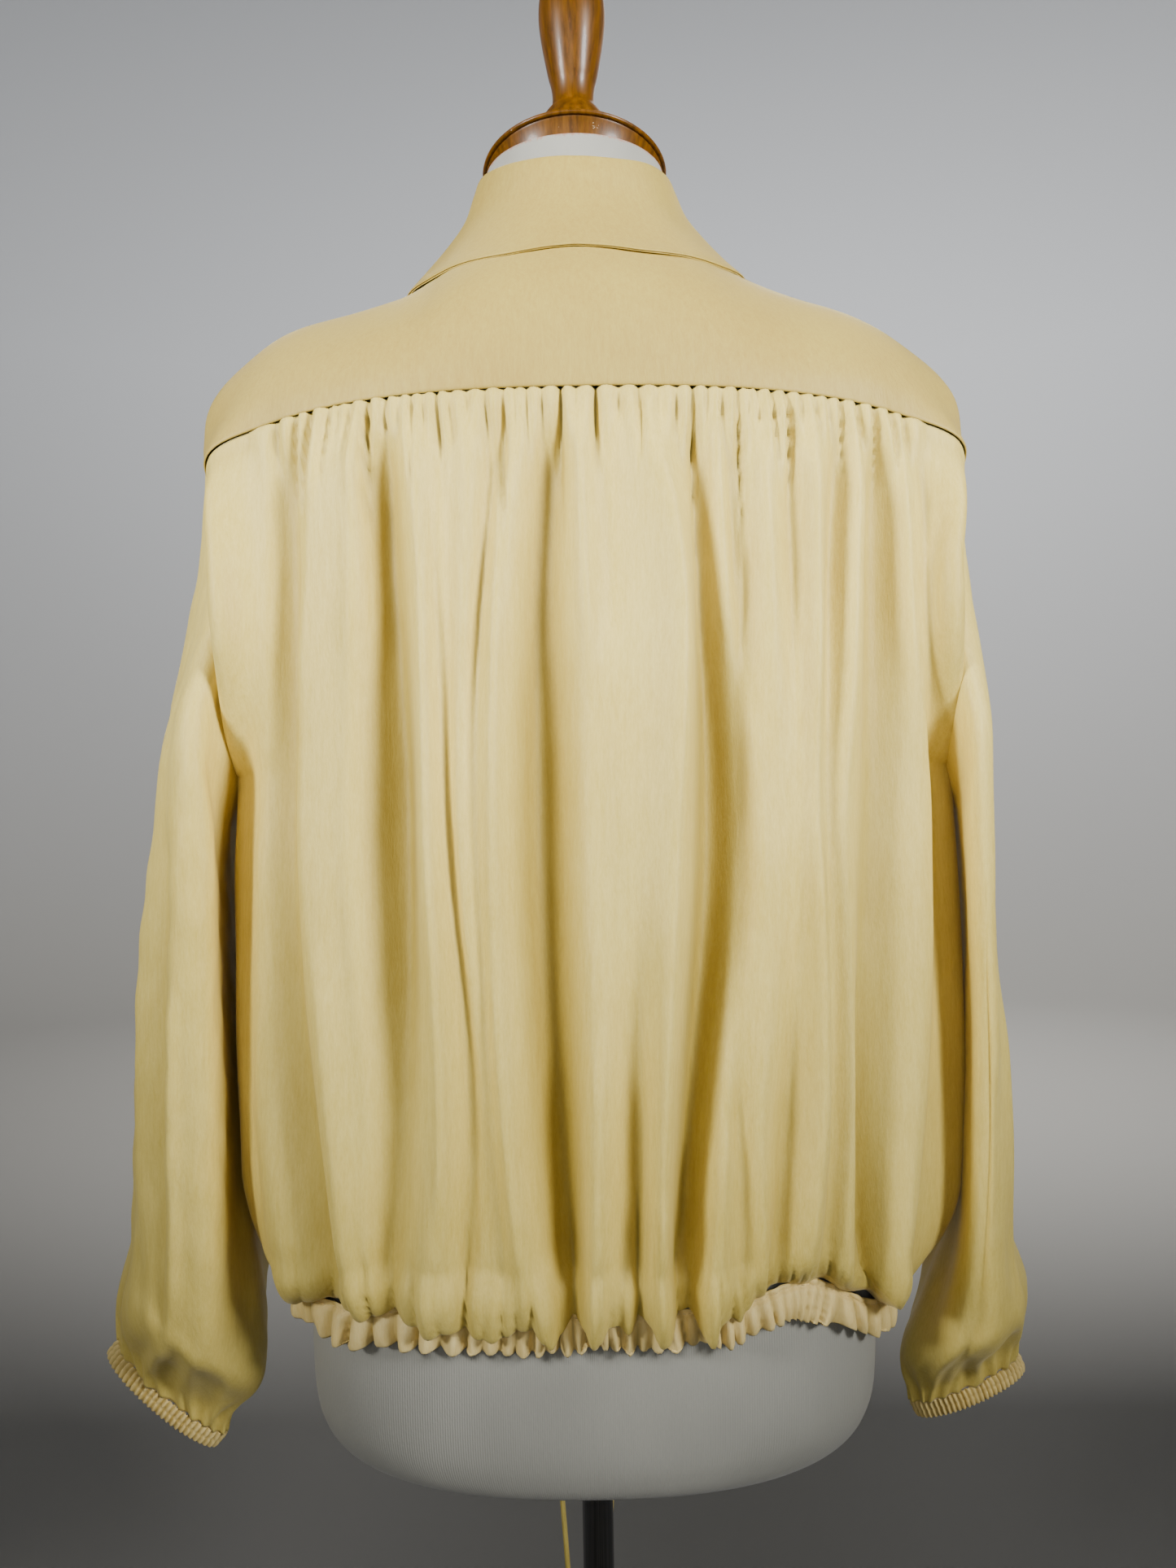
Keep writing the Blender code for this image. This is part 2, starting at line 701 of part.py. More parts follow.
def take(thing, finish):
    """Moves a primitive into the parts' collection and gives it its finish."""
    for collection in list(thing.users_collection):
        collection.objects.unlink(thing)
    PARTS.objects.link(thing)
    thing.data.materials.append(material(finish))


def make_hem(name, edge, face, wave):
    """The casing below a panel's lower edge, with ruffles that open towards its lower side."""
    top, low = [], []
    for column, point in enumerate(edge):
        out = outward(point, 1.0, face)
        top.append(point - Vector((0, 0, SEAM)))
        low.append(point - Vector((0, 0, HEM_HEIGHT)) + out * (1.5 + 0.5 * wave(column)))
    rows = stand_back([top, low], first_column=True, last_column=True)
    cloth(name, rows, "doubled silk crepe")
    return rows


def cuff_frame(cuff):
    """The middle, the long direction and the way down of a tilted cuff."""
    middle = Vector((cuff.side * cuff.out, 0.0, cuff.height))
    long_way = Vector((cuff.side * math.cos(cuff.tilt), 0.0, math.sin(cuff.tilt)))
    down = Vector((cuff.side * math.sin(cuff.tilt), 0.0, -math.cos(cuff.tilt)))
    return middle, long_way, down


def cuff_point(cuff, turn, drop, crimp=0.0):
    middle, long_way, down = cuff_frame(cuff)
    point = middle + down * drop
    point += long_way * (cuff.half_length + crimp) * math.cos(turn)
    point.y -= (cuff.half_depth + crimp) * math.sin(turn)
    return point


def make_cuff(cuff, name):
    steps = even_steps(cuff.half_depth, cuff.half_length, 2.0, TAU)
    rows = []
    for drop in (-CUFF_HEIGHT / 2, CUFF_HEIGHT / 2):
        rows.append([cuff_point(cuff, match(steps, step / (2 * CRIMPS), 1, 0), drop,
                                CRIMP if step % 2 else -CRIMP) for step in range(2 * CRIMPS)])
    cloth(name, rows, "doubled silk crepe", ring=True, mirrored=cuff.side > 0)


def sleeve_point(cuff, at, share):
    """A sleeve's point: at is its place on the armhole, share its way down to the cuff."""
    side = cuff.side
    start = armhole(side, at)
    turn = math.radians(30.0 * (at + 1.0))
    end = cuff_point(cuff, turn, -CUFF_HEIGHT / 2 - SEAM)
    height = start.z + (end.z - start.z) * share
    ring = along(SLEEVE_RINGS, "height", height)
    out = ring.right_out if side > 0 else ring.left_out
    inside = ring.right_in if side > 0 else ring.left_in
    fold = 0.0
    degrees = math.degrees(turn) % 360
    for before, after in zip(SLEEVE_FOLDS, SLEEVE_FOLDS[1:]):
        if before.turn <= degrees <= after.turn:
            part = ease((degrees - before.turn) / (after.turn - before.turn))
            fold = before.rise + (after.rise - before.rise) * part
    fold *= ease(share / 0.15) * (1 - ease((share - 0.85) / 0.15))
    y = -(ring.deep + fold) * math.sin(turn)
    x = side * ((out + inside) / 2 + ((out - inside) / 2 + fold * 0.4) * math.cos(turn) + SLEEVE_LEAN * y)
    hang = Vector((x, y, height))
    from_armhole = ease(share / (0.2 + 0.1 * math.cos(turn)))
    point = Vector((start.x, start.y, height)).lerp(hang, from_armhole)
    return point.lerp(Vector((end.x, end.y, height)), ease((share - 0.9) / 0.1))


def make_sleeve(cuff, name):
    places = []
    for start, end in zip(ARMHOLE_STOPS, ARMHOLE_STOPS[1:]):
        places += [start + (end - start) * step / SLEEVE_SPLIT for step in range(SLEEVE_SPLIT)]
    rows = [[sleeve_point(cuff, at, share) for at in places] for share in SLEEVE_ROWS]
    cloth(name, stand_back(rows, first_row=True), ring=True, mirrored=cuff.side > 0)


def collar_rows(columns):
    rows = [[] for _ in range(4 + len(COLLAR_FALL))]
    last = math.radians(COLLAR[-1].turn)
    for column in range(columns + 1):
        turn = last * (2.0 * column / columns - 1.0)
        side = math.copysign(1.0, turn)
        stop = along(COLLAR, "turn", math.degrees(abs(turn)))
        x, y = neck_plan(NECK, turn)
        seat = roof(x, y)
        inward = Vector((-x, -y, 0)).normalized()
        base = seat + inward * 1.9 + Vector((0, 0, 0.8))
        fold_x, fold_y = neck_plan(FOLD_PLAN, turn)
        crest = Vector((fold_x, fold_y, stop.fold_height))
        top = crest + inward * 3.5 - Vector((0, 0, 3.5))
        edge_x, edge_y = side * stop.out, stop.along
        edge = roof(edge_x, edge_y) + roof_out(edge_x, edge_y) * (OVERLAY + 0.9)
        rows[0].append(base)
        rows[1].append(base.lerp(top, 0.5))
        rows[2].append(top)
        rows[3].append(crest)
        for index, share in enumerate(COLLAR_FALL):
            plan = share ** 1.3
            point = crest.lerp(edge, plan)
            point.z = crest.z + (edge.z - crest.z) * share ** 0.85
            if index == 0:
                point -= inward * 1.5
            rows[4 + index].append(clear_of_roof(point, OVERLAY + 0.9))
    return rows


def make_collar():
    cloth("collar", collar_rows(COLLAR_COLUMNS), "doubled silk crepe")


def make_tie(tie, casing):
    """A free end of the hem's drawstring: out of the casing, then down."""
    for right, left in zip(zip(*casing), list(zip(*casing))[1:]):
        if right[0].x >= tie.at >= left[0].x:
            break
    share = (right[0].x - tie.at) / (right[0].x - left[0].x)
    top, low = (near.lerp(far, share) for near, far in zip(right, left))
    out = (left[0] - right[1]).cross(right[0] - left[1]).normalized()
    start = top.lerp(low, 0.5) + out * 0.8
    route = [start] + [start + out * reach + Vector((0, 0, -drop))
                       for reach, drop in ((3, 0), (5.5, 2), (7.5, 5), (8, 10))]
    steps = 12
    for step in range(1, steps + 1):
        share = step / steps
        sway = tie.bow * math.sin(share * math.pi * 1.3)
        route.append(start + Vector((sway, 8 - 3 * share, -10 - (TIE_LENGTH - 18) * share)))
    curve = bpy.data.curves.new(tie.name, "CURVE")
    curve.dimensions = "3D"
    curve.bevel_depth = TIE_WIDTH / 2 * MM
    curve.bevel_resolution = 2
    curve.use_fill_caps = True
    line = curve.splines.new("POLY")
    line.points.add(len(route) - 1)
    for spot, point in zip(line.points, route):
        spot.co = (point.x * MM, point.y * MM, (point.z + MID) * MM, 1.0)
    thing = bpy.data.objects.new(tie.name, curve)
    PARTS.objects.link(thing)
    curve.materials.append(material("silk crepe"))


# ---------------------------------------------------------------- the dress form

def form_ring(row, sides):
    points = []
    for index in range(sides):
        turn = TAU * index / sides
        depth = row.front if math.sin(turn) > 0 else row.back
        power_of = 2 / row.squareness
        x = math.copysign(row.width * abs(math.cos(turn)) ** power_of, math.cos(turn))
        y = math.copysign(depth * abs(math.sin(turn)) ** power_of, math.sin(turn))
        points.append((x, y, row.height))
    return points


def loft(name, rings, finish):
    """A closed solid through rings, from its lowest ring to its highest."""
    sides = len(rings[0])
    points = [point for ring in rings for point in ring]
    faces = [list(range(sides))[::-1], [(len(rings) - 1) * sides + index for index in range(sides)]]
    for ring in range(len(rings) - 1):
        for index in range(sides):
            after = (index + 1) % sides
            faces.append([ring * sides + index, ring * sides + after,
                          (ring + 1) * sides + after, (ring + 1) * sides + index])
    return new_mesh(name, points, faces, finish)


def make_torso():
    rings = [form_ring(row, FORM_SIDES) for row in reversed(FORM)]
    loft("torso", rings, "cotton jersey")


def make_neck_cap():
    """A wedge of wood between the neck's level top and a rim that lifts at the back."""
    neck = FORM[0]
    sides = FORM_SIDES
    rings = []
    profile = ((52.0, None, 0), (53.5, -2.6, 1), (55.5, -2.0, 1), (56.0, 0.0, 1), (54.0, 1.4, 1),
               (44.0, 3.0, 0.8), (30.0, CAP_TOP - CAP_RIM, 0))
    for radius, rise, lift in profile:
        ring = []
        for index in range(sides):
            turn = TAU * index / sides
            x, y = radius * math.cos(turn), radius * math.sin(turn)
            z = neck.height + 0.3
            if rise is not None:
                z = CAP_RIM + rise + lift * CAP_RISE * power(-math.sin(turn), 1.3)
            ring.append((x, y, z))
        rings.append(ring)
    loft("neck_cap", rings, "varnished beech")


def turned(name, profile, finish, steps=24):
    """A turned solid: the profile runs from its top, on the axis, down the outer side."""
    curve_points = [(radius * MM, 0.0, (height + MID) * MM) for radius, height in profile]
    mesh = bpy.data.meshes.new(name)
    edges = [(index, index + 1) for index in range(len(profile) - 1)]
    mesh.from_pydata(curve_points, edges, [])
    thing = bpy.data.objects.new(name, mesh)
    PARTS.objects.link(thing)
    screw = thing.modifiers.new("turn", "SCREW")
    screw.steps = steps
    screw.render_steps = steps
    screw.use_merge_vertices = True
    screw.merge_threshold = 0.00005
    screw.use_smooth_shade = True
    thing.data.materials.append(material(finish))
    return thing


def make_finial():
    foot_height = CAP_TOP + 0.3
    profile = (
        (0, 500), (8, 499), (15, 494), (19, 485), (20.5, 471), (19.2, 456),
        (15.6, 436), (12.7, 420), (13.5, 415), (17.0, 410.5), (21.0, 404), (24.5, 394),
        (26.0, foot_height), (0, foot_height),
    )
    turned("finial", profile, "varnished beech", 20)


def make_stand():
    under = FORM[-1].height
    floor = -MID
    hub_top = floor + HUB_HEIGHT
    turned("pole", ((0, under - 0.3), (POLE_RADIUS, under - 0.3),
                    (POLE_RADIUS, hub_top + 0.3), (0, hub_top + 0.3)), "chromed steel", 24)
    edge = 2.0
    turned("base", (
        (0, hub_top), (HUB_RADIUS - edge, hub_top), (HUB_RADIUS, hub_top - edge),
        (HUB_RADIUS, floor + BASE_HEIGHT + 3), (HUB_RADIUS + 3, floor + BASE_HEIGHT),
        (BASE_RADIUS - edge, floor + BASE_HEIGHT), (BASE_RADIUS, floor + BASE_HEIGHT - edge),
        (BASE_RADIUS, floor), (0, floor)), "painted steel", 48)


def clear_scene():
    for thing in list(bpy.data.objects):
        bpy.data.objects.remove(thing, do_unlink=True)


clear_scene()
PARTS = bpy.data.collections.new("blouse on a dress form")
bpy.context.scene.collection.children.link(PARTS)

make_torso()
make_neck_cap()
make_finial()
make_stand()
make_yoke()
back_edge = make_back()
front_right = make_front(1.0, "front_right")
front_left = make_front(-1.0, "front_left")
make_buttons(make_placket(front_right, front_left))
make_hem("hem_back", back_edge, -1, back_ruffle)
casing = make_hem("hem_front", front_right[-1][::-1] + front_left[-1], 1, front_ruffle)
make_collar()
for cuff, word in zip(CUFFS, ("left", "right")):
    make_sleeve(cuff, f"sleeve_{word}")
    make_cuff(cuff, f"cuff_{word}")
for tie in TIES:
    make_tie(tie, casing)
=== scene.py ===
"""A pale silk crepe blouse on a limbless dress form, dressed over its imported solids.

Tables and helpers give sizes in millimetres, heights count from MID, the middle of the
blouse, and shell and solid turn them to Blender's metres. The wearer faces +Y and their
right is +X.
"""

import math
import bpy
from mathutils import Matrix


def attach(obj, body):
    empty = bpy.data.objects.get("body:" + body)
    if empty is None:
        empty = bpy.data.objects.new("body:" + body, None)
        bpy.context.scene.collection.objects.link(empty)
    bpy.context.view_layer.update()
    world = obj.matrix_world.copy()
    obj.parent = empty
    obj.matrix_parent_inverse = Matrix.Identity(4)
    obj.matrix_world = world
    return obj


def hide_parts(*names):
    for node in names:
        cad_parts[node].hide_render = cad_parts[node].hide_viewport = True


bl_info = {
    "name": "Silk blouse on a dress form",
    "version": (1, 0, 0),
    "blender": (4, 5, 0),
    "location": "View3D > Sidebar > Blouse",
    "description": "Builds a gathered silk crepe blouse and the dress form that wears it",
    "category": "Add Mesh",
}

from collections import namedtuple

import bpy
import numpy as np
from mathutils import Matrix, Vector

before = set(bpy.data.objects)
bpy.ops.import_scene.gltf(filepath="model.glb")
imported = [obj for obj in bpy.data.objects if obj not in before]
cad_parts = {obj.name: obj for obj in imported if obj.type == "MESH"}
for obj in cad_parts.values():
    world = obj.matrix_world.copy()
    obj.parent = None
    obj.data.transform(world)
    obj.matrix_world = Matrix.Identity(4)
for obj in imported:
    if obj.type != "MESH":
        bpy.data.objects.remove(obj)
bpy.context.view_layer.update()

MM = 0.001
MID = 930.0
TAU = 2.0 * math.pi


def table(names, *rows):
    """Rows of values whose columns have names."""
    return tuple(map(namedtuple("Row", names)._make, rows))


# ---------------------------------------------------------------- the blouse's cut and form

BODY_ROUND = 2.35     # superellipse exponent of the body's sections
ROOF_ROUND = 2.3      # the same for the arch over the shoulders
ROOF_FLATTER = 0.62   # how much lower that exponent is over the shoulders
UNDERARM = 0.42       # share of the way from yoke seam to hem casing
NECK_SHARE = 14 / 38  # share of the yoke's width that ends at the neckline
HEM_HEIGHT = 21.0

SECTIONS = table(
    "down mid side left right back front",
    (0.000,  206,  175,  219, 225, 114, 122),
    (0.168,  126,  112,  204, 207, 119, 136),
    (0.420,    6,   10,  199, 209, 124, 139),
    (0.540,  -50,  -46,  202, 211, 127, 139),
    (0.680, -117, -112,  202, 213, 129, 139),
    (0.820, -183, -180,  202, 212, 130, 137),
    (0.920, -231, -238,  200, 207, 131, 134),
    (0.965, -256, -272,  194, 198, 129, 130),
    (1.000, -270, -276,  176, 177, 121, 123),
)

# The armhole seam, from the back end of the yoke down to the underarm and up the front.
ARMHOLE = table(
    "left right along height",
    (211, 218, -47, 174), (206, 212, -60, 147), (200, 203, -66, 112), (197, 202.5, -60, 70),
    (198, 207, -32, 28), (199, 209, 0, 10), (200, 209, 34, 30), (201, 208, 60, 72),
    (205, 211, 67, 118), (211, 217, 58, 158), (218, 224, 36, 194), (229, 232, 0, 207),
)

# The height of the shoulder line, by the distance out from the neck.
RIDGE = table(
    "out left right",
    (0,   326, 326), (62,  314, 316), (95,  297, 303), (125, 287, 291),
    (160, 279, 281), (190, 270, 270), (205, 254, 257), (214, 239, 243),
    (222, 223, 229), (229, 207, 214), (236, 192, 200),
)

Neck = namedtuple("Neck", "side back front turn")
NECK = Neck(64, 66, 88, math.radians(100))     # turn: from centre back to the yoke's front seam
FOLD_PLAN = Neck(58.5, 61, 80, 0)              # plan of the collar's fold line
SHOULDER_SEAM = (15.3, 36.0)                   # how far forward it lies, at the neck and the armhole

Sway = namedtuple("Sway", "at reach rise")
HEM_SWAY = (Sway(168, 34, -20), Sway(112, 26, 9), Sway(-150, 40, -8))

SLEEVE_LEAN = 0.24    # how far a sleeve's section leans out towards the front
SLEEVE_RINGS = table(
    "height left_out left_in right_out right_in deep",
    (205,    234,    206,     236,      208,    62),
    (125,    244,    211,     244,      214,    76),
    (60,     251,    214,     246,      222,    84),
    (-43,    263,    213,     249,      224,    86),
    (-120,   274,    211,     251,      225,    84),
    (-200,   280,    208,     253,      224,    78),
    (-270,   283,    206,     254,      218,    70),
    (-320,   294,    202,     268,      200,    58),
    (-350,   295,    204,     268,      188,    46),
    (-400,   280,    212,     258,      188,    40),
)

Cuff = namedtuple("Cuff", "word side out height half_length half_depth tilt")
CUFFS = (
    Cuff("left", -1, 263, -369, 43, 14, math.radians(41.7)),
    Cuff("right", 1, 228, -372, 35, 14, math.radians(22.6)),
)
CUFF_HEIGHT = 11.0

COLLAR = table(
    "turn out along fold_height",
    (0, 0, -90, 353), (25, 41, -85, 354), (50, 80, -58, 358),
    (75, 99, -22, 361), (95, 104, 10, 360), (120, 97, 55, 350),
    (145, 80, 88, 333), (168, 60, 108, 322),
)
COLLAR_FALL = (0.08, 0.3, 0.55, 0.8, 1)
LIE = 2.3             # how far the collar lies off the shoulders

PLACKET_HALF = 14.0
BUTTONS = 6

# ---------------------------------------------------------------- folds, gathers and creases

# Long folds of the sleeves: turn 0 faces out, 90 back and 180 to the body; lean is turn per sleeve length.
LongFold = namedtuple("LongFold", "turn wide lean top low rise")
SLEEVE_FOLDS = {
    "left": (LongFold(112, 13, -6, 0.12, 0.86, 4.5), LongFold(150, 17, 0, 0.06, 0.80, -5.0),
             LongFold(62, 9, 22, 0.30, 0.90, -3.5), LongFold(40, 8, 10, 0.18, 0.75, 2.5),
             LongFold(84, 7, -16, 0.45, 0.95, 3.5), LongFold(15, 10, 12, 0.50, 0.93, -3.0),
             LongFold(300, 16, 15, 0.20, 0.85, -4.0), LongFold(262, 16, -8, 0.20, 0.85, 3.5)),
    "right": (LongFold(70, 12, 10, 0.10, 0.55, 2.5), LongFold(118, 16, -6, 0.10, 0.82, 3.0),
              LongFold(152, 16, 0, 0.06, 0.80, -2.0), LongFold(95, 8, 14, 0.35, 0.90, -2.5),
              LongFold(48, 9, -18, 0.50, 0.94, 3.0), LongFold(300, 16, -15, 0.20, 0.85, -4.0),
              LongFold(258, 16, 8, 0.20, 0.85, 3.5)),
}

# Folds down the back, each a soft ridge or trough: where it runs, seen from behind, at five
# heights, and how far it stands off the smooth form high up, halfway and low down.
BACK_FOLDS = table(
    "seam upper middle lower hem rise_upper rise_middle rise_lower",
    (-206, -204, -204, -200, -190,    0,   0,   0),
    (-186, -186, -188, -188, -178,    1,   1,   2),
    (-171, -171, -175, -176, -167,    2,   3,   4),
    (-156, -154, -161, -153, -138,   -3,  -3,  -5),
    (-136, -142, -147, -134, -127,    3,   4,   5),
    (-120, -119, -127, -116, -117,    2,   3,   2),
    (-105, -102,  -98, -100, -109,   -7, -10,  -4),
    ( -89,  -81,  -78,  -75,  -80,    4,   6,   6),
    ( -72,  -74,  -70,  -60,  -64,    0,  -1,  -3),
    ( -56,  -59,  -63,  -53,  -55,    2,   3,   0),
    ( -41,  -51,  -56,  -49,  -46,   -4,   1,   1),
    ( -31,  -40,  -46,  -42,  -34,    3,   5,   6),
    ( -10,  -19,  -23,  -15,  -10,   -8, -11, -11),
    (   0,    4,    5,    4,    1,    3,   2,   4),
    (  13,   17,   21,   25,   23,    0,   4,  -5),
    (  35,   50,   45,   36,   33,    6,   8,   6),
    (  60,   62,   67,   52,   44,   -5, -11, -10),
    (  70,   73,   81,   67,   62,    1,  -5,   3),
    (  82,   81,   92,   76,   78,   -6,   1,  -1),
    (  95,   98,  101,   85,   87,    3,   2,   3),
    ( 110,  112,  108,  103,   93,   -2,   3,  -4),
    ( 122,  121,  116,  116,  110,    4,   7,   5),
    ( 140,  133,  124,  126,  122,   -3,   3,  -2),
    ( 148,  142,  132,  135,  132,    3,   5,   2),
    ( 160,  160,  156,  145,  149,   -4,  -4,  -8),
    ( 178,  178,  183,  173,  163,    4,   5,   5),
    ( 190,  190,  196,  190,  176,   -2,  -2,  -1),
    ( 208,  210,  214,  212,  200,    0,   0,   0),
)
FOLD_HEIGHTS = (191, 109, -15, -180, -255)

# Fold edges on the back: each runs from its top to its low point, with a soft and a steep side.
CREASE_WIDTH = 1.4    # the edges are pressed this much wider than their table says,
CREASE_RISE = 0.85    # and this much lower
BACK_CREASES = table(
    "top_x top low_x low wide_left wide_right rise",
    (-150, 190, -148,   20,  4,   9,   3.5), (-114, 206, -113,   40, 14,   2.6, 5.5),
    (-103, 200, -105,  140,  4,   3,   3.0), ( -82, 212,  -77, -160,  4,   6,   3.5),
    ( -46, 214,  -45,  -90, 12,   3,   5.0), (  -2, 214,    3,   40, 12,   3.2, 5.0),
    (  59, 205,   45,  -80,  9,   3.5, 4.8), (  88, 206,   79,   50,  9,   2.2, 5.5),
    (  92, 178,   84, -120,  4,   6,   3.0), ( 106, 206,  107,  145,  4,   2,   3.0),
    ( 123, 200,  118,   10,  5,   6,   3.8), ( 151, 190,  136,  -20,  5,   6,   4.5),
    ( 167, 200,  177,  130,  6,   2.5, 3.2), ( -75, -30,  -72, -270,  2.8, 9,   4.5),
    (  46, -20,   31, -262,  9,   3,   4.5), ( 113,   0,  123, -256,  4,   5,   3.8),
    (-141, -70, -121, -272,  3,   8,   3.8), (   3, -120,  -3, -280,  2.6, 8,   5.0),
    (  64, -170,  55, -282,  2.6, 8,   5.0), (  36, -200,  39, -284,  6,   2.6, 4.0),
    ( -22, -235, -26, -286,  6,   2.6, 4.0), ( 150,  -60, 152, -240,  8,   4,   2.5),
)
# Where the back hangs over its casing: the place, half the width and how far.
OVERHANGS = table(
    "at reach drop",
    (-118, 14, 5), (-84, 18, 9), (-52, 18, 12), (-20, 8, 14), (0, 9, 13),
    (17, 6, 10), (36, 9, 13), (58, 7, 14), (74, 7, 8), (164, 12, 3),
    (-165, 14, 5),
)

FRONT_FOLDS_RIGHT = table(
    "top middle low rise_top rise_middle rise_low",
    (18,   18,   18,     0,    0,    0), (52,   46,   40,     1,    3,    4),
    (78,   70,   62,    -1,   -5,   -6), (108,  98,   92,     2,    5,    6),
    (140,  130,  122,   -2,   -6,   -7), (172,  164,  152,    2,    5,    5),
    (196,  192,  184,   -1,   -3,   -3), (214,  214,  208,    0,    0,    0),
)
FRONT_FOLDS_LEFT = table(
    "top middle low rise_top rise_middle rise_low",
    (18,   18,   18,     0,    0,    0), (44,   52,   46,     1,    4,    5),
    (70,   80,   72,    -2,   -6,   -6), (104,  108,  100,    2,    4,    5),
    (132,  138,  132,   -1,   -4,   -6), (166,  168,  160,    3,    5,    6),
    (190,  190,  180,   -2,   -3,   -3), (206,  203,  200,    0,    0,    0),
)

# Puckers under the yoke's back seam: the place of each trough, its strength and its reach down.
YOKE_GATHERS = table(
    "at strength reach",
    (-182, 0.2, 20), (-164, 0.4, 25), (-152, 0.8, 60), (-144, 0.9, 70),
    (-132, 0.9, 40), (-127, 0.5, 25), (-121, 0.6, 30), (-111, 1.0, 90),
    (-101, 0.8, 30), (-94, 0.5, 20), (-87, 0.9, 60), (-81, 0.5, 25),
    (-74, 1.0, 50), (-67, 0.7, 40), (-58, 0.4, 20), (-49, 0.6, 30),
    (-39, 1.0, 110), (-33, 0.5, 30), (-27, 0.8, 60), (-19, 0.5, 25),
    (-9, 1.0, 80), (-1, 0.4, 25), (9, 0.9, 50), (21, 0.4, 20),
    (32, 0.8, 45), (42, 0.4, 20), (51, 0.6, 30), (60, 1.0, 100),
    (68, 0.6, 30), (75, 0.7, 30), (84, 1.0, 110), (89, 0.5, 20),
    (94, 0.8, 35), (102, 0.9, 45), (110, 0.9, 60), (118, 0.5, 25),
    (126, 0.7, 30), (133, 0.5, 20), (140, 0.9, 50), (150, 0.7, 30),
    (160, 0.9, 45), (170, 0.7, 40), (178, 0.5, 30), (192, 0.2, 20),
)
# The same at the hem, with the reach upwards; the casing's ruffles share these places.
HEM_GATHERS = table(
    "at strength reach",
    (-176, 0.2, 20), (-158, 0.4, 30), (-142, 0.5, 30), (-128, 0.6, 30),
    (-116, 0.8, 40), (-104, 0.6, 25), (-90, 0.7, 40), (-77, 0.4, 20),
    (-64, 0.8, 50), (-54, 0.4, 20), (-45, 0.7, 30), (-38, 0.6, 20),
    (-30, 0.9, 40), (-24, 0.7, 20), (-18, 0.8, 30), (-11, 1.0, 90),
    (-5, 0.7, 20), (1, 1.0, 60), (6, 0.8, 30), (13, 0.7, 25),
    (23, 1.0, 90), (30, 0.6, 20), (36, 0.7, 25), (44, 1.0, 90),
    (51, 0.8, 30), (57, 0.6, 20), (64, 0.9, 40), (71, 0.8, 30),
    (77, 0.9, 40), (84, 0.5, 20), (91, 0.9, 40), (98, 0.6, 20),
    (104, 0.9, 30), (109, 0.6, 18), (114, 0.8, 30), (119, 0.5, 18),
    (125, 0.8, 30), (131, 0.5, 20), (139, 0.6, 25), (149, 0.9, 50),
    (158, 0.5, 20), (166, 0.7, 40), (176, 0.3, 30),
)

FORM = table(
    "height width back front squareness",
    (370,   54,   54,   54, 2.0), (332,   54.5, 54.5, 54.5, 2.0),
    (316,   56,   55.5, 56, 2.0), (305,   62,   58,   59, 2.05),
    (296,   75,   61,   62, 2.1), (283,   97,   67,   67, 2.2),
    (266,   125,  76,   76, 2.3), (246,   152,  86,   86, 2.35),
    (218,   171,  94,   96, 2.35), (180,   180,  100,  109, 2.35),
    (130,   179,  102,  120, 2.35),
    (85,    164,  100,  118, 2.35), (0,     138,  94,   102, 2.35),
    (-70,   126,  90,   95, 2.35), (-150,  143,  99,   101, 2.35),
    (-220,  161,  110,  109, 2.35), (-270,  168,  114,  113, 2.35),
    (-340,  168,  115,  113, 2.35), (-366,  163,  111,  109, 2.35),
    (-378,  152,  102,  100, 2.35), (-380,  138,  90,   88, 2.35),
)
CAP_RIM = 373.5       # height of the neck cap's rim at its sides and front
CAP_RISE = 9.5        # how much higher the rim is at the back
CAP_TOP = 386.0
POLE_RADIUS = 9.5
BASE_RADIUS = 180.0
BASE_HEIGHT = 9.0
HUB_RADIUS = 22.0
HUB_HEIGHT = 34.0

TIE_WIDTH = 6.0
TIE_LENGTH = 330.0
Tie = namedtuple("Tie", "name x y z bow")
TIES = (Tie("tie_left", -25.0, 124.3, -280.3, -5), Tie("tie_right", 8.9, 124.9, -280.3, 6))


def ease(share):
    """0 to 1 with level ends, for a number or an array."""
    share = np.clip(share, 0.0, 1.0)
    return share * share * (3.0 - 2.0 * share)


def bell(x, at, width):
    """1 at its place and soon 0 beyond its width, for a number or an array."""
    return np.exp(-((x - at) / width) ** 2)


def power(value, exponent):
    return max(value, 0.0) ** exponent


def swell(size, wave, roundness):
    """A sine or cosine of size, bowed out to an oval of that roundness."""
    return math.copysign(size * abs(wave) ** (2 / roundness), wave)


def from_to(start, end, slope_start, slope_end, share):
    """A cubic curve from start to end, with its slopes at both."""
    return (start * (2 * share ** 3 - 3 * share ** 2 + 1)
            + slope_start * (share ** 3 - 2 * share ** 2 + share)
            + end * (3 * share ** 2 - 2 * share ** 3)
            + slope_end * (share ** 3 - share ** 2))


def curve(before, start, end, after, share):
    """The smooth curve from start to end, bent by the points before and after them."""
    return 0.5 * (2 * start
                  + (end - before) * share
                  + (2 * before - 5 * start + 4 * end - after) * share ** 2
                  + (3 * start - before - 3 * end + after) * share ** 3)


def along(rows, key, value):
    """The row of a table at value of its key column, by a smooth curve through its rows."""
    knots = [getattr(row, key) for row in rows]
    sign = 1.0 if knots[-1] > knots[0] else -1.0
    value = min(max(value * sign, knots[0] * sign), knots[-1] * sign) * sign
    at = 0
    while at < len(knots) - 2 and sign * knots[at + 1] < sign * value:
        at += 1
    span = knots[at + 1] - knots[at]
    share = (value - knots[at]) / span

    def slope(index, column):
        low = max(index - 1, 0)
        high = min(index + 1, len(knots) - 1)
        return (rows[high][column] - rows[low][column]) / (knots[high] - knots[low])

    return type(rows[0])(*(
        from_to(start, end, slope(at, column) * span, slope(at + 1, column) * span, share)
        for column, (start, end) in enumerate(zip(rows[at], rows[at + 1]))))


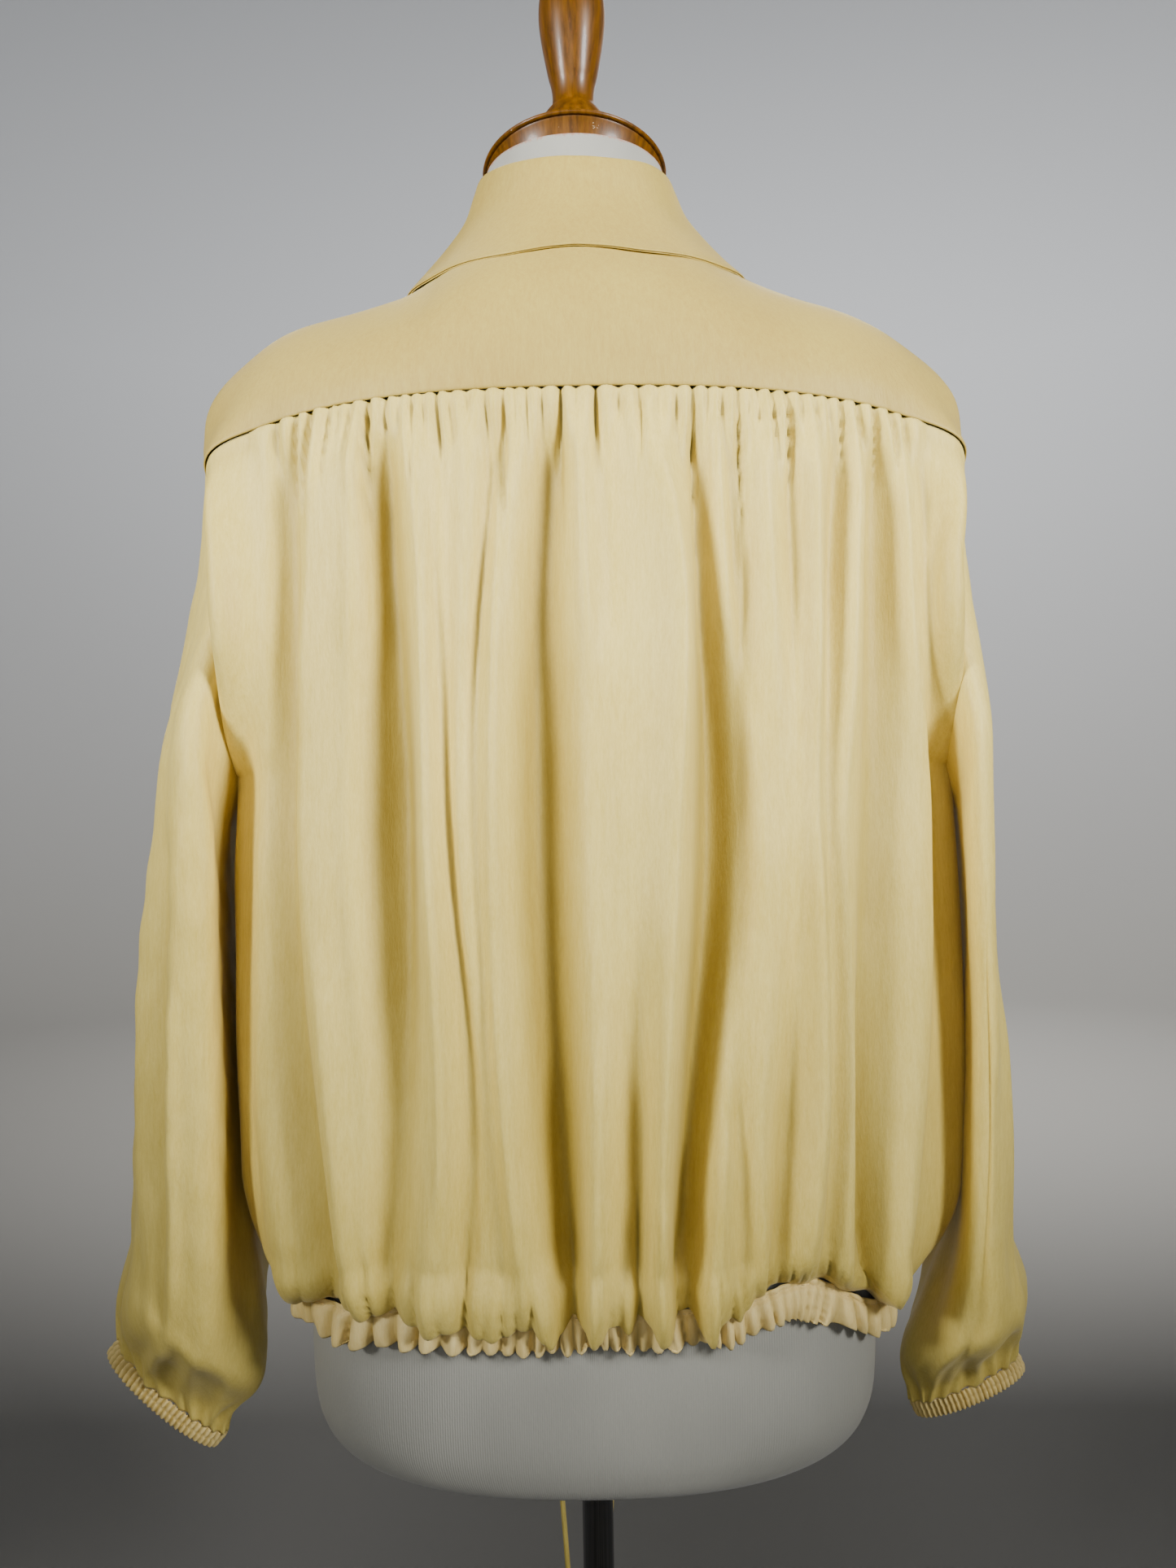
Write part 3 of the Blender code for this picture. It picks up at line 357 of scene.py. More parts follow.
def through_loop(stops, at):
    """A point on the closed smooth curve through stops, at a stop number with a fraction."""
    count = len(stops)
    index = int(math.floor(at))
    return curve(*(Vector(stops[(index + step) % count]) for step in (-1, 0, 1, 2)), at - index)


ARMHOLE_LINES = {side: [(side * getattr(stop, word), stop.along, stop.height) for stop in ARMHOLE]
                 for side, word in ((-1.0, "left"), (1.0, "right"))}


def armhole(side, at):
    return through_loop(ARMHOLE_LINES[side], at)


def even_steps(half_width, half_depth, roundness, last_turn, steps=240):
    """Turns of an oval, from its end of depth, and the even share of the way that each one marks."""
    marks = [(0.0, 0.0)]
    before = None
    for step in range(steps + 1):
        turn = last_turn * step / steps
        spot = Vector((swell(half_width, math.sin(turn), roundness), swell(half_depth, math.cos(turn), roundness)))
        if step:
            marks.append((turn, marks[-1][1] + (spot - before).length))
        before = spot
    total = marks[-1][1]
    return [(turn, length / total) for turn, length in marks]


BODY_STEPS = even_steps(208, 124, BODY_ROUND, math.pi / 2)
BODY_TURNS = np.array([turn for turn, share in BODY_STEPS])
BODY_SHARES = np.array([share for turn, share in BODY_STEPS])


def hem_sway(x):
    return sum(sway.rise * float(bell(x, sway.at, sway.reach)) for sway in HEM_SWAY)


def plain_body(across, down, face):
    """The body's smooth form: across runs from -1 to 1, face is -1 on the back, 1 on the front."""
    section = along(SECTIONS, "down", down)
    side = math.copysign(1.0, across)
    turn = float(np.interp(min(abs(across), 1.0), BODY_SHARES, BODY_TURNS))
    width = section.right if side > 0 else section.left
    depth = section.front if face > 0 else section.back
    x = side * width * power(math.sin(turn), 2 / BODY_ROUND)
    y = face * depth * power(math.cos(turn), 2 / BODY_ROUND)
    z = section.mid + (section.side - section.mid) * abs(across) ** 3
    return Vector((x, y, z + hem_sway(x) * float(ease((down - 0.82) / 0.18))))


def body(across, down, face):
    """The smooth form, drawn to the armhole where the panel ends on it."""
    point = plain_body(across, down, face)
    if down >= UNDERARM:
        return point
    side = math.copysign(1.0, across)
    share = 5.0 * down / UNDERARM
    goal = armhole(side, share if face < 0 else 10.0 - share)
    pull = float(ease((abs(across) - 0.6) / 0.4))
    return point + (goal - plain_body(side, down, face)) * pull


def foot(x, face):
    """Where the arch over the shoulders stands, at a distance from the middle."""
    side = math.copysign(1.0, x)
    width = SECTIONS[0].right if side > 0 else SECTIONS[0].left
    reach = min(1.0, abs(x) / width)
    turn = math.asin(reach ** (BODY_ROUND / 2))
    return body(side * float(np.interp(turn, BODY_TURNS, BODY_SHARES)), 0.0, face)


def ridge_height(x):
    row = along(RIDGE, "out", abs(x))
    return row.left + (row.right - row.left) * float(ease((x + 60) / 120))


def roof_round(x):
    """The arch is full over the neck and falls off sooner over the shoulders."""
    return ROOF_ROUND - ROOF_FLATTER * float(ease((abs(x) - 15) / 90))


def arch(x, turn):
    """A point of the arch: turn is 0 at its back foot and pi at its front foot."""
    face = -1.0 if turn < math.pi / 2 else 1.0
    stand = foot(x, face)
    level = power(abs(math.cos(turn)), 2 / roof_round(x))
    lift = power(math.sin(turn), 2 / roof_round(x))
    return Vector((x, stand.y * level, stand.z + (ridge_height(x) - stand.z) * lift))


def arch_turn(x, y):
    """The turn at which the arch at x passes y."""
    stand = foot(x, math.copysign(1.0, y))
    turn = math.acos(min(1.0, abs(y / stand.y)) ** (roof_round(x) / 2))
    return turn if y < 0 else math.pi - turn


def roof(x, y):
    return arch(x, arch_turn(x, y))


def roof_out(x, y):
    """The direction that faces away from the arch at a point of the plan."""
    step = 2.0
    across = roof(x + step, y) - roof(x - step, y)
    forward = roof(x, y + step) - roof(x, y - step)
    return across.cross(forward).normalized()


def clear_of_roof(point, distance):
    """The point, moved out where it comes nearer to the arch than distance."""
    if abs(point.y) >= abs(foot(point.x, math.copysign(1.0, point.y)).y) - 3.0:
        return point
    out = roof_out(point.x, point.y)
    short = distance - (point - roof(point.x, point.y)).dot(out)
    return point + out * max(0.0, short)


def neck_plan(plan, turn):
    """Plan of an oval around the neck; turn is 0 at the centre back."""
    reach = plan.back if math.cos(turn) > 0 else plan.front
    return plan.side * math.sin(turn), -reach * math.cos(turn)


def yoke_end(across):
    """Where a line up the yoke ends: on the neckline, or on the yoke's front seam."""
    if abs(across) <= NECK_SHARE:
        x, y = neck_plan(NECK, NECK.turn * across / NECK_SHARE)
        return roof(x, y)
    side = math.copysign(1.0, across)
    share = (abs(across) - NECK_SHARE) / (1 - NECK_SHARE)
    if share > 0.9999:
        return armhole(side, 10)
    share = 1 - (1 - share) ** 1.5
    x_neck = NECK.side * math.sin(NECK.turn)
    x = side * (x_neck + (abs(armhole(side, 10).x) - x_neck) * share)
    y = SHOULDER_SEAM[0] + (SHOULDER_SEAM[1] - SHOULDER_SEAM[0]) * share
    return roof(x, y)


def yoke_arch(start, end, share):
    """The arch from one end of a yoke line to the other."""
    turn = arch_turn(end.x, end.y)
    point = arch(start.x + (end.x - start.x) * share, turn * share)
    point += (start - arch(start.x, 0.0)) * (1 - share) ** 2
    return point + (end - arch(end.x, turn)) * share ** 2


def yoke_point(across, share):
    side = math.copysign(1.0, across)
    point = yoke_arch(body(across, 0.0, -1), yoke_end(across), share)
    seam = armhole(side, 12 - 2 * share)
    edge = yoke_arch(armhole(side, 0), armhole(side, 10), share)
    return point + (seam - edge) * float(ease((abs(across) - 0.7) / 0.3))


def front_point(side, across, share):
    """A front panel's point: across is 0 at the centre and 1 at the side."""
    neck_part = 0.4
    if across < neck_part:
        x, y = neck_plan(NECK, math.pi - (math.pi - NECK.turn) * across / neck_part)
        top = roof(side * x, y)
    else:
        beyond = (across - neck_part) / (1 - neck_part)
        top = yoke_end(side * (NECK_SHARE + (1 - NECK_SHARE) * beyond))
    level = body(side * max(across, 1e-6), 0.0, 1)
    on_arch = max(0.0, (top.z - level.z) / (top.z - SECTIONS[-1].mid))
    if share < on_arch:
        part = share / on_arch
        turn = arch_turn(top.x, top.y)
        return arch(top.x + (level.x - top.x) * part, turn + (math.pi - turn) * part)
    return body(side * max(across, 1e-6), (share - on_arch) / (1 - on_arch), 1)


def cuff_point(cuff, turn, drop, grow=0.0):
    middle = Vector((cuff.side * cuff.out, 0.0, cuff.height))
    long_way = Vector((cuff.side * math.cos(cuff.tilt), 0.0, math.sin(cuff.tilt)))
    down = Vector((cuff.side * math.sin(cuff.tilt), 0.0, -math.cos(cuff.tilt)))
    point = middle + down * drop + long_way * (cuff.half_length + grow) * math.cos(turn)
    point.y -= (cuff.half_depth + grow) * math.sin(turn)
    return point


def sleeve_point(cuff, at, share):
    """A sleeve's point: at is its place on the armhole, share its way down to the cuff."""
    side = cuff.side
    start = armhole(side, at)
    turn = math.radians(30.0 * (at + 1.0))
    end = cuff_point(cuff, turn, -CUFF_HEIGHT / 2)
    height = start.z + (end.z - start.z) * share
    ring = along(SLEEVE_RINGS, "height", height)
    out = ring.right_out if side > 0 else ring.left_out
    inside = ring.right_in if side > 0 else ring.left_in
    y = -ring.deep * math.sin(turn)
    x = side * ((out + inside) / 2 + (out - inside) / 2 * math.cos(turn) + SLEEVE_LEAN * y)
    hang = Vector((x, y, height))
    from_armhole = float(ease(share / (0.2 + 0.1 * math.cos(turn))))
    point = Vector((start.x, start.y, height)).lerp(hang, from_armhole)
    return point.lerp(Vector((end.x, end.y, height)), float(ease((share - 0.9) / 0.1)))


def collar_line(turn):
    """The collar's points at a turn about the neck: up its stand, over the fold and down its fall."""
    side = math.copysign(1.0, turn)
    stop = along(COLLAR, "turn", math.degrees(abs(turn)))
    x, y = neck_plan(NECK, turn)
    seat = roof(x, y)
    inward = Vector((-x, -y, 0)).normalized()
    base = seat + inward * 1.9 + Vector((0, 0, 0.8))
    fold_x, fold_y = neck_plan(FOLD_PLAN, turn)
    crest = Vector((fold_x, fold_y, stop.fold_height))
    top = crest + inward * 3.5 - Vector((0, 0, 3.5))
    edge = roof(side * stop.out, stop.along) + roof_out(side * stop.out, stop.along) * LIE
    line = [base, base.lerp(top, 0.5), top, crest]
    for index, share in enumerate(COLLAR_FALL):
        point = crest.lerp(edge, share ** 1.3)
        point.z = crest.z + (edge.z - crest.z) * share ** 0.85
        if index == 0:
            point -= inward * 1.5
        line.append(clear_of_roof(point, LIE))
    return line


# ---------------------------------------------------------------- fine cloth over the form

def spline(points, places, axis, closed=False):
    """A smooth curve through equally spaced points along one axis of a grid, read at places 0 to 1."""
    points = np.moveaxis(points, axis, 0)
    if closed:
        padded = np.concatenate([points[-1:], points, points[:2]])
        count = len(points) + 1
    else:
        first = 2 * points[:1] - points[1:2]
        last = 2 * points[-1:] - points[-2:-1]
        padded = np.concatenate([first, points, last])
        count = len(points)
    at = np.clip(places, 0.0, 1.0) * (count - 1)
    index = np.minimum(at.astype(int), count - 2)
    share = (at - index).reshape((-1,) + (1,) * (points.ndim - 1))
    return np.moveaxis(curve(*(padded[index + step] for step in range(4)), share), 0, axis)


def grid_of(rows):
    """Rows of points as one array."""
    return np.array([[tuple(point) for point in row] for row in rows])


def fine(rows, across, down, closed=False):
    """A fine grid on the smooth surface through a coarse one."""
    return spline(spline(grid_of(rows), down, 0), across, 1, closed)


def outward(grid, closed=False, mirrored=False):
    """The direction that faces away from the cloth's inner side, at each point of a grid."""
    if closed:
        wide = np.concatenate([grid[:, -1:], grid, grid[:, :1]], axis=1)
        across = np.gradient(wide, axis=1)[:, 1:-1]
    else:
        across = np.gradient(grid, axis=1)
    out = np.cross(np.gradient(grid, axis=0), across)
    out /= np.maximum(np.linalg.norm(out, axis=2, keepdims=True), 1e-9)
    return -out if mirrored else out


def dense(count, start, end, share=0.2):
    """Places from 0 to 1, set closer together near the start and the end by the given factors."""
    spots = np.linspace(0.0, 1.0, 400)
    weight = 1 + (start - 1) * (1 - ease(spots / share)) + (end - 1) * ease((spots - 1 + share) / share)
    total = np.concatenate([[0.0], np.cumsum((weight[1:] + weight[:-1]) / 2)])
    return np.interp(np.linspace(0.0, total[-1], count), total, spots)


def ripple(x, gathers):
    """0 in each gather's trough and 1 on the rounds between them, with their strength and reach."""
    places = np.array([gather.at for gather in gathers], float)
    steps = np.interp(x, places, np.arange(len(places)))
    wave = np.abs(np.sin(math.pi * steps)) ** 0.8
    strength = np.interp(x, places, [gather.strength for gather in gathers])
    reach = np.interp(x, places, [gather.reach for gather in gathers])
    spacing = np.interp(x, (places[1:] + places[:-1]) / 2, np.diff(places))
    return (wave - 0.6) * strength * np.clip(spacing / 9.0, 0.45, 1.5), reach


def folds_between(x, places, rises):
    """The height of a run of folds: an eased line from each ridge or trough to the next."""
    result = np.zeros_like(x)
    for (start, low), (end, high) in zip(zip(places, rises), zip(places[1:], rises[1:])):
        share = ease((x - start) / np.maximum(end - start, 1e-6))
        result += np.where((x > start) & (x <= end), low + (high - low) * share, 0.0)
    return result


def crumple(grid, seed, wave, rise):
    """Slow uneven swells over a grid of points, about as long as wave, so that no fold runs straight."""
    rng = np.random.default_rng(seed)
    total = np.zeros(grid.shape[:2])
    for _ in range(7):
        way = rng.normal(size=3) * np.array([1.0, 1.0, 0.45])
        way /= np.linalg.norm(way)
        total += np.sin(grid @ way * TAU / (wave * rng.uniform(0.6, 1.7)) + rng.uniform(0, TAU))
    return total * rise / 2.6


def press(x, z, creases):
    """Adds single creases: each runs from its top to its low point, with its own width on each side."""
    total = np.zeros_like(x)
    for crease in creases:
        share = (crease.top - z) / (crease.top - crease.low)
        line = crease.top_x + (crease.low_x - crease.top_x) * share
        wide = np.where(x < line, crease.wide_left, crease.wide_right) * CREASE_WIDTH
        fade = ease(share / 0.25) * ease((1 - share) / 0.35)
        total += CREASE_RISE * crease.rise * fade * bell(x, line, wide)
    return total


def dress(name, mesh, look, node=None):
    """Makes a mesh a piece that has its finish, rides with the part and stands for a node."""
    thing = bpy.data.objects.new(name, mesh)
    bpy.context.scene.collection.objects.link(thing)
    mesh.materials.append(finish(look))
    if node:
        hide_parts(node)
    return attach(thing, "root")


def shell(name, grid, look, cloth, node=None, closed=False, mirrored=False, valley=0.0):
    """A thin cloth shell on a grid of points, whose rows run down and whose columns run left to right.

    The painted fold shade is 1 deep between two folds and 0 in the open: painted shade, which the silk shows as a
    deeper gold, for the light that passes from cloth to cloth.
    """
    rows, columns = grid.shape[:2]
    index = np.arange(rows * columns).reshape(rows, columns)
    if closed:
        index = np.concatenate([index, index[:, :1]], axis=1)
    quads = np.stack([index[:-1, :-1], index[1:, :-1], index[1:, 1:], index[:-1, 1:]], axis=-1)
    if mirrored:
        quads = quads[..., ::-1]
    mesh = bpy.data.meshes.new(name)
    points = (grid + np.array([0.0, 0.0, MID])) * MM
    mesh.from_pydata(points.reshape(-1, 3).tolist(), [], quads.reshape(-1, 4).tolist())
    mesh.shade_smooth()
    # Painted shade: a share at each point that darkens the silk in the troughs of folds, gathers and crimps.
    depth = mesh.attributes.new("valley", "FLOAT", "POINT")
    depth.data.foreach_set("value", np.broadcast_to(valley, (rows, columns)).astype(np.float32).ravel())
    piece = dress(name, mesh, look, node)
    wall = piece.modifiers.new("wall", "SOLIDIFY")
    wall.thickness = cloth.thickness
    wall.offset = -1.0
    return piece


def solid(name, points, faces, look, node=None):
    """A closed or open mesh from points in millimetres and faces."""
    mesh = bpy.data.meshes.new(name)
    mesh.from_pydata([(x * MM, y * MM, (z + MID) * MM) for x, y, z in points], [], faces)
    mesh.shade_smooth()
    mesh.set_sharp_from_angle(angle=math.radians(40))
    return dress(name, mesh, look, node)


def ring_faces(rings, turns, start=0):
    """Faces between rings of turns points, whose first point has the number start."""
    faces = []
    for low in range(start, start + (rings - 1) * turns, turns):
        for turn in range(turns):
            after = (turn + 1) % turns
            faces.append([low + turn, low + after, low + turns + after, low + turns + turn])
    return faces


def capped(rings, turns, start=0):
    """The same, closed by a face at each end."""
    last = start + (rings - 1) * turns
    ends = [list(range(start, start + turns))[::-1], list(range(last, last + turns))]
    return ring_faces(rings, turns, start) + ends


def cut_to(piece):
    return piece


def stitches(name, line, length, gap, thread):
    """A row of short raised threads along a line of points; thread is their radius."""
    line = np.asarray(line, float)
    steps = np.linalg.norm(np.diff(line, axis=0), axis=1)
    reach = np.concatenate([[0.0], np.cumsum(steps)])
    count = int(reach[-1] // (length + gap))
    sides = 5
    points, faces = [], []
    for number in range(count):
        start = number * (length + gap)
        spots = [np.array([np.interp(start + length * share, reach, line[:, axis]) for axis in range(3)])
                 for share in (0.0, 0.25, 0.75, 1.0)]
        way = spots[-1] - spots[0]
        way /= np.linalg.norm(way)
        side = np.cross(way, [0.0, 0.0, 1.0] if abs(way[2]) < 0.9 else [1.0, 0.0, 0.0])
        side /= np.linalg.norm(side)
        up = np.cross(way, side)
        faces += capped(len(spots), sides, len(points))
        for spot, grow in zip(spots, (0.25, 1.0, 1.0, 0.25)):
            for corner in range(sides):
                turn = TAU * corner / sides
                points.append(spot + (side * math.cos(turn) + up * math.sin(turn)) * thread * grow)
    return solid(name, points, faces, "thread")


# ---------------------------------------------------------------- materials

def linear(colour):
    """A colour as linear RGBA: it comes as an sRGB hex value, or as a property's linear RGB."""
    if not isinstance(colour, str):
        return (*colour, 1.0)
    values = [int(colour[index:index + 2], 16) / 255 for index in (1, 3, 5)]
    return (*(value / 12.92 if value <= 0.04045 else ((value + 0.055) / 1.055) ** 2.4 for value in values), 1.0)


def join(tree, node, links):
    """Links or sets a node's sockets. A node given as a source stands for its first output."""
    for socket, source in links.items():
        if isinstance(source, bpy.types.Node):
            source = source.outputs[0]
        if isinstance(source, bpy.types.NodeSocket):
            tree.links.new(source, node.inputs[socket])
        else:
            node.inputs[socket].default_value = source


def add(tree, kind, links=None, stops=(), **settings):
    """Adds a node, sets its fields and the stops of its colour ramp, and joins its sockets."""
    made = tree.nodes.new(kind)
    for field, value in settings.items():
        setattr(made, field, value)
    for number, (place, colour) in enumerate(stops):
        made.color_ramp.elements[number].position = place
        made.color_ramp.elements[number].color = linear(colour)
    join(tree, made, links or {})
    return made


def surface(name, roughness, metallic=0.0):
    """A new material, its node tree and its shader."""
    made = bpy.data.materials.new(name)
    made.use_nodes = True
    shader = made.node_tree.nodes["Principled BSDF"]
    join(made.node_tree, shader, {"Roughness": roughness, "Metallic": metallic})
    return made, made.node_tree, shader


def pattern(tree, sizes, detail=2.0, roughness=0.5):
    """An uneven pattern whose grain is about as large as the three sizes in millimetres."""
    place = add(tree, "ShaderNodeTexCoord")
    scaled = add(tree, "ShaderNodeMapping",
                 {"Vector": place.outputs["Object"], "Scale": [1000.0 / size for size in sizes]})
    return add(tree, "ShaderNodeTexNoise",
               {"Vector": scaled, "Scale": 1.0, "Detail": detail, "Roughness": roughness})


def silk_crepe(name, light, dark):
    """Silk crepe de chine, woven from hard-twisted yarn: matte, with a fine upright pebble."""
    made, tree, shader = surface(name, 0.58)
    # The real pebble is 0.3 to 0.6 mm wide; 0.8 mm is the finest that still shows from a step away.
    pebble = pattern(tree, (0.8, 0.8, 3.2), 2.0, 0.6)
    slub = pattern(tree, (2.2, 2.2, 14.0))
    drift = pattern(tree, (60.0, 60.0, 90.0))
    grain = add(tree, "ShaderNodeMath", {0: pebble, 1: slub}, operation="ADD")
    tone = add(tree, "ShaderNodeMath", {0: grain, 1: drift}, operation="ADD")
    third = add(tree, "ShaderNodeMath", {0: tone, 1: 0.3333}, operation="MULTIPLY")
    cloth = add(tree, "ShaderNodeValToRGB", {"Fac": third}, ((0.3, dark), (0.7, light)))
    # Painted shade: where the mesh's fold-shade attribute is high, the cloth colour is multiplied by a deeper gold,
    # in the troughs of folds, gathers and crimps.
    valley = add(tree, "ShaderNodeAttribute", attribute_name="valley")
    deep = add(tree, "ShaderNodeMix", {"Factor": 1.0, 6: cloth, 7: linear("#CAC3A0")}, data_type="RGBA",
               blend_type="MULTIPLY")
    fold_shaded_cloth = add(tree, "ShaderNodeMix", {"Factor": valley.outputs["Fac"], 6: cloth, 7: deep.outputs[2]},
                 data_type="RGBA")
    bump = add(tree, "ShaderNodeBump", {"Height": grain, "Strength": 0.45, "Distance": 0.00035})
    join(tree, shader, {"Base Color": fold_shaded_cloth.outputs[2], "Normal": bump, "Specular IOR Level": 0.35,
                        "Sheen Weight": 0.22, "Sheen Roughness": 0.35, "Sheen Tint": linear("#FFF6DC")})
    return made


def ribbed_jersey():
    """Cotton jersey, knitted in fine upright ribs and pulled tight: white, matte and a little fuzzy."""
    made, tree, shader = surface("cotton jersey", 0.88)
    place = add(tree, "ShaderNodeTexCoord")
    apart = add(tree, "ShaderNodeSeparateXYZ", {"Vector": place.outputs["Object"]})
    turn = add(tree, "ShaderNodeMath", {0: apart.outputs["Y"], 1: apart.outputs["X"]}, operation="ARCTAN2")
    # Ribs stand 1.4 mm apart around a hip of about 900 mm.
    ribs = add(tree, "ShaderNodeMath", {0: turn, 1: 640.0}, operation="MULTIPLY")
    wave = add(tree, "ShaderNodeMath", {0: ribs}, operation="SINE")
    soft = add(tree, "ShaderNodeMath", {0: wave, 1: 0.35}, operation="MULTIPLY")
    yarn = pattern(tree, (1.0, 1.0, 2.4))
    height = add(tree, "ShaderNodeMath", {0: soft, 1: yarn}, operation="ADD")
    drift = pattern(tree, (90.0, 90.0, 120.0))
    # Painted shade: the white jersey is set to a mid grey, for the shadow that the blouse casts over the form.
    cloth = add(tree, "ShaderNodeValToRGB", {"Fac": drift}, ((0.3, "#97968D"), (0.7, "#A7A69C")))
    # Painted shade under the wood cap's rim: the jersey's top edge is darkened to a warm brown, with a ragged lower
    # border.
    rim_shade_ragged = pattern(tree, (2.5, 2.5, 6.0), 3.0, 0.7)
    reach = add(tree, "ShaderNodeMath", {0: rim_shade_ragged, 1: 0.006, 2: apart.outputs["Z"]}, operation="MULTIPLY_ADD")
    edge = add(tree, "ShaderNodeMapRange",
               {"Value": reach, "From Min": 1.3018, "From Max": 1.3032, "To Min": 0.0, "To Max": 0.85})
    rim_shaded = add(tree, "ShaderNodeMix", {"Factor": edge, 6: cloth, 7: linear("#A87A66")}, data_type="RGBA")
    bump = add(tree, "ShaderNodeBump", {"Height": height, "Strength": 0.5, "Distance": 0.0003})
    join(tree, shader, {"Base Color": rim_shaded.outputs[2], "Normal": bump, "Sheen Weight": 0.2,
                        "Specular IOR Level": 0.2})
    return made


def varnished_beech(light, dark):
    """Turned beech under clear varnish: honey brown, upright grain with short dark flecks."""
    made, tree, shader = surface("varnished beech", 0.36)
    grain = pattern(tree, (3.5, 3.5, 60.0), 4.0, 0.6)
    wood = add(tree, "ShaderNodeValToRGB", {"Fac": grain}, ((0.32, dark), (0.68, light)))
    fleck = pattern(tree, (1.1, 1.1, 5.0), 1.0, 0.4)
    spots = add(tree, "ShaderNodeMapRange",
                {"Value": fleck, "From Min": 0.60, "From Max": 0.72, "To Min": 0.0, "To Max": 0.45})
    flecked = add(tree, "ShaderNodeMix", {"Factor": spots, 6: wood, 7: linear("#6B3A12")}, data_type="RGBA")
    # Knocks along the rim have chipped the varnish to pale wood.
    chips = pattern(tree, (5.0, 5.0, 3.0), 3.0, 0.7)
    chipped = add(tree, "ShaderNodeMapRange",
                  {"Value": chips, "From Min": 0.70, "From Max": 0.74, "To Min": 0.0, "To Max": 0.8})
    place = add(tree, "ShaderNodeTexCoord")
    apart = add(tree, "ShaderNodeSeparateXYZ", {"Vector": place.outputs["Object"]})
    low = add(tree, "ShaderNodeMath", {0: apart.outputs["Z"], 1: 1.322}, operation="LESS_THAN")
    worn = add(tree, "ShaderNodeMath", {0: chipped, 1: low}, operation="MULTIPLY")
    final = add(tree, "ShaderNodeMix", {"Factor": worn, 6: flecked.outputs[2], 7: linear("#D9C3A0")},
                data_type="RGBA")
    bump = add(tree, "ShaderNodeBump", {"Height": grain, "Strength": 0.12, "Distance": 0.0004})
    join(tree, shader, {"Base Color": final.outputs[2], "Normal": bump, "Specular IOR Level": 0.18,
                        "Coat Weight": 0.08, "Coat Roughness": 0.12})
    return made


def chromed_steel():
    """Chrome plate on drawn tube: bright, with faint lengthwise polishing marks."""
    made, tree, shader = surface("chromed steel", 0.1, 1.0)
    marks = pattern(tree, (0.8, 0.8, 120.0))
    bright = add(tree, "ShaderNodeValToRGB", {"Fac": marks}, ((0.3, "#6E6E70"), (0.7, "#8C8C8E")))
    join(tree, shader, {"Base Color": bright})
    return made


def painted_steel(colour):
    """Stove-enamelled steel plate: satin black with a slight orange peel."""
    made, tree, shader = surface("satin black enamel", 0.42)
    peel = pattern(tree, (3.0, 3.0, 3.0))
    dark = [part * 0.7 for part in colour]
    enamel = add(tree, "ShaderNodeValToRGB", {"Fac": peel}, ((0.3, dark), (0.7, colour)))
    bump = add(tree, "ShaderNodeBump", {"Height": peel, "Strength": 0.12, "Distance": 0.0003})
    join(tree, shader, {"Base Color": enamel, "Normal": bump})
    return made


def cast_resin():
    """Cast polyester button, polished: a soft cloudy sheen in the cloth's own colour."""
    made, tree, shader = surface("polished resin", 0.22)
    cloud = pattern(tree, (4.0, 4.0, 4.0))
    resin = add(tree, "ShaderNodeValToRGB", {"Fac": cloud}, ((0.3, "#D9C58C"), (0.7, "#EFE2BC")))
    join(tree, shader, {"Base Color": resin, "Coat Weight": 0.4})
    return made


def spun_thread():
    """Spun sewing thread, two plies: a shade deeper than the cloth."""
    made, tree, shader = surface("sewing thread", 0.7)
    ply = pattern(tree, (0.5, 0.5, 0.5), 1.0)
    thread = add(tree, "ShaderNodeValToRGB", {"Fac": ply}, ((0.3, "#C9AE72"), (0.7, "#DCC691")))
    join(tree, shader, {"Base Color": thread})
    return made


def studio_paper(low, high):
    """Matte studio paper, darker low down and paler where it climbs behind the object: painted shade towards the
    floor and painted light up the wall.
    """
    made, tree, shader = surface("matte studio paper", 0.95)
    place = add(tree, "ShaderNodeTexCoord")
    apart = add(tree, "ShaderNodeSeparateXYZ", {"Vector": place.outputs["Object"]})
    painted_falloff = add(tree, "ShaderNodeMapRange", {"Value": apart.outputs["Z"], "From Min": -0.2, "From Max": 3.4})
    paper = add(tree, "ShaderNodeValToRGB", {"Fac": painted_falloff}, ((0.0, low), (1.0, high)))
    join(tree, shader, {"Base Color": paper, "Specular IOR Level": 0.1})
    return made


FINISHES = {}


def finish(name):
    """A material by its short name, made when it is first asked for."""
    look = bpy.context.scene.blouse_look
    makers = {
        "silk": lambda: silk_crepe("silk crepe", look.silk_light, look.silk_dark),
        # Doubled silk: a little more beige, and set darker as painted shade.
        "doubled": lambda: silk_crepe("doubled silk crepe", look.doubled_shaded_light, look.doubled_shaded_dark),
        "casing": lambda: silk_crepe("silk crepe, gathered double", look.casing_light, look.casing_dark),
        "thread": spun_thread,
        "resin": cast_resin,
        "jersey": ribbed_jersey,
        "beech": lambda: varnished_beech(look.wood_light, look.wood_dark),
        "chrome": chromed_steel,
        "enamel": lambda: painted_steel(look.enamel),
    }
    if name not in FINISHES:
        FINISHES[name] = makers[name]()
    return FINISHES[name]


# ---------------------------------------------------------------- the blouse's pieces

# How far the cloth is moved, in millimetres, besides the tables.
FOLD_SCALE = 1.6      # the back's broad folds, over the heights in their table
YOKE_PUCKER = 8.4     # the gathers below the yoke seam
HEM_PUCKER = 5.0      # the gathers above the hem casing
FRONT_PUCKER = 3.4    # the same on the two fronts
OVERHANG_BEND = 26.0  # from the hem up to where the overhanging cloth begins to bend
SLEEVE_TUCK = 13.0    # how far a sleeve's inner side lies towards the body


def coarse(point, columns, rows):
    """Points of a form function of the shares across and down, for fine to refine."""
    return [[point(column / columns, row / rows) for column in range(columns + 1)] for row in range(rows + 1)]


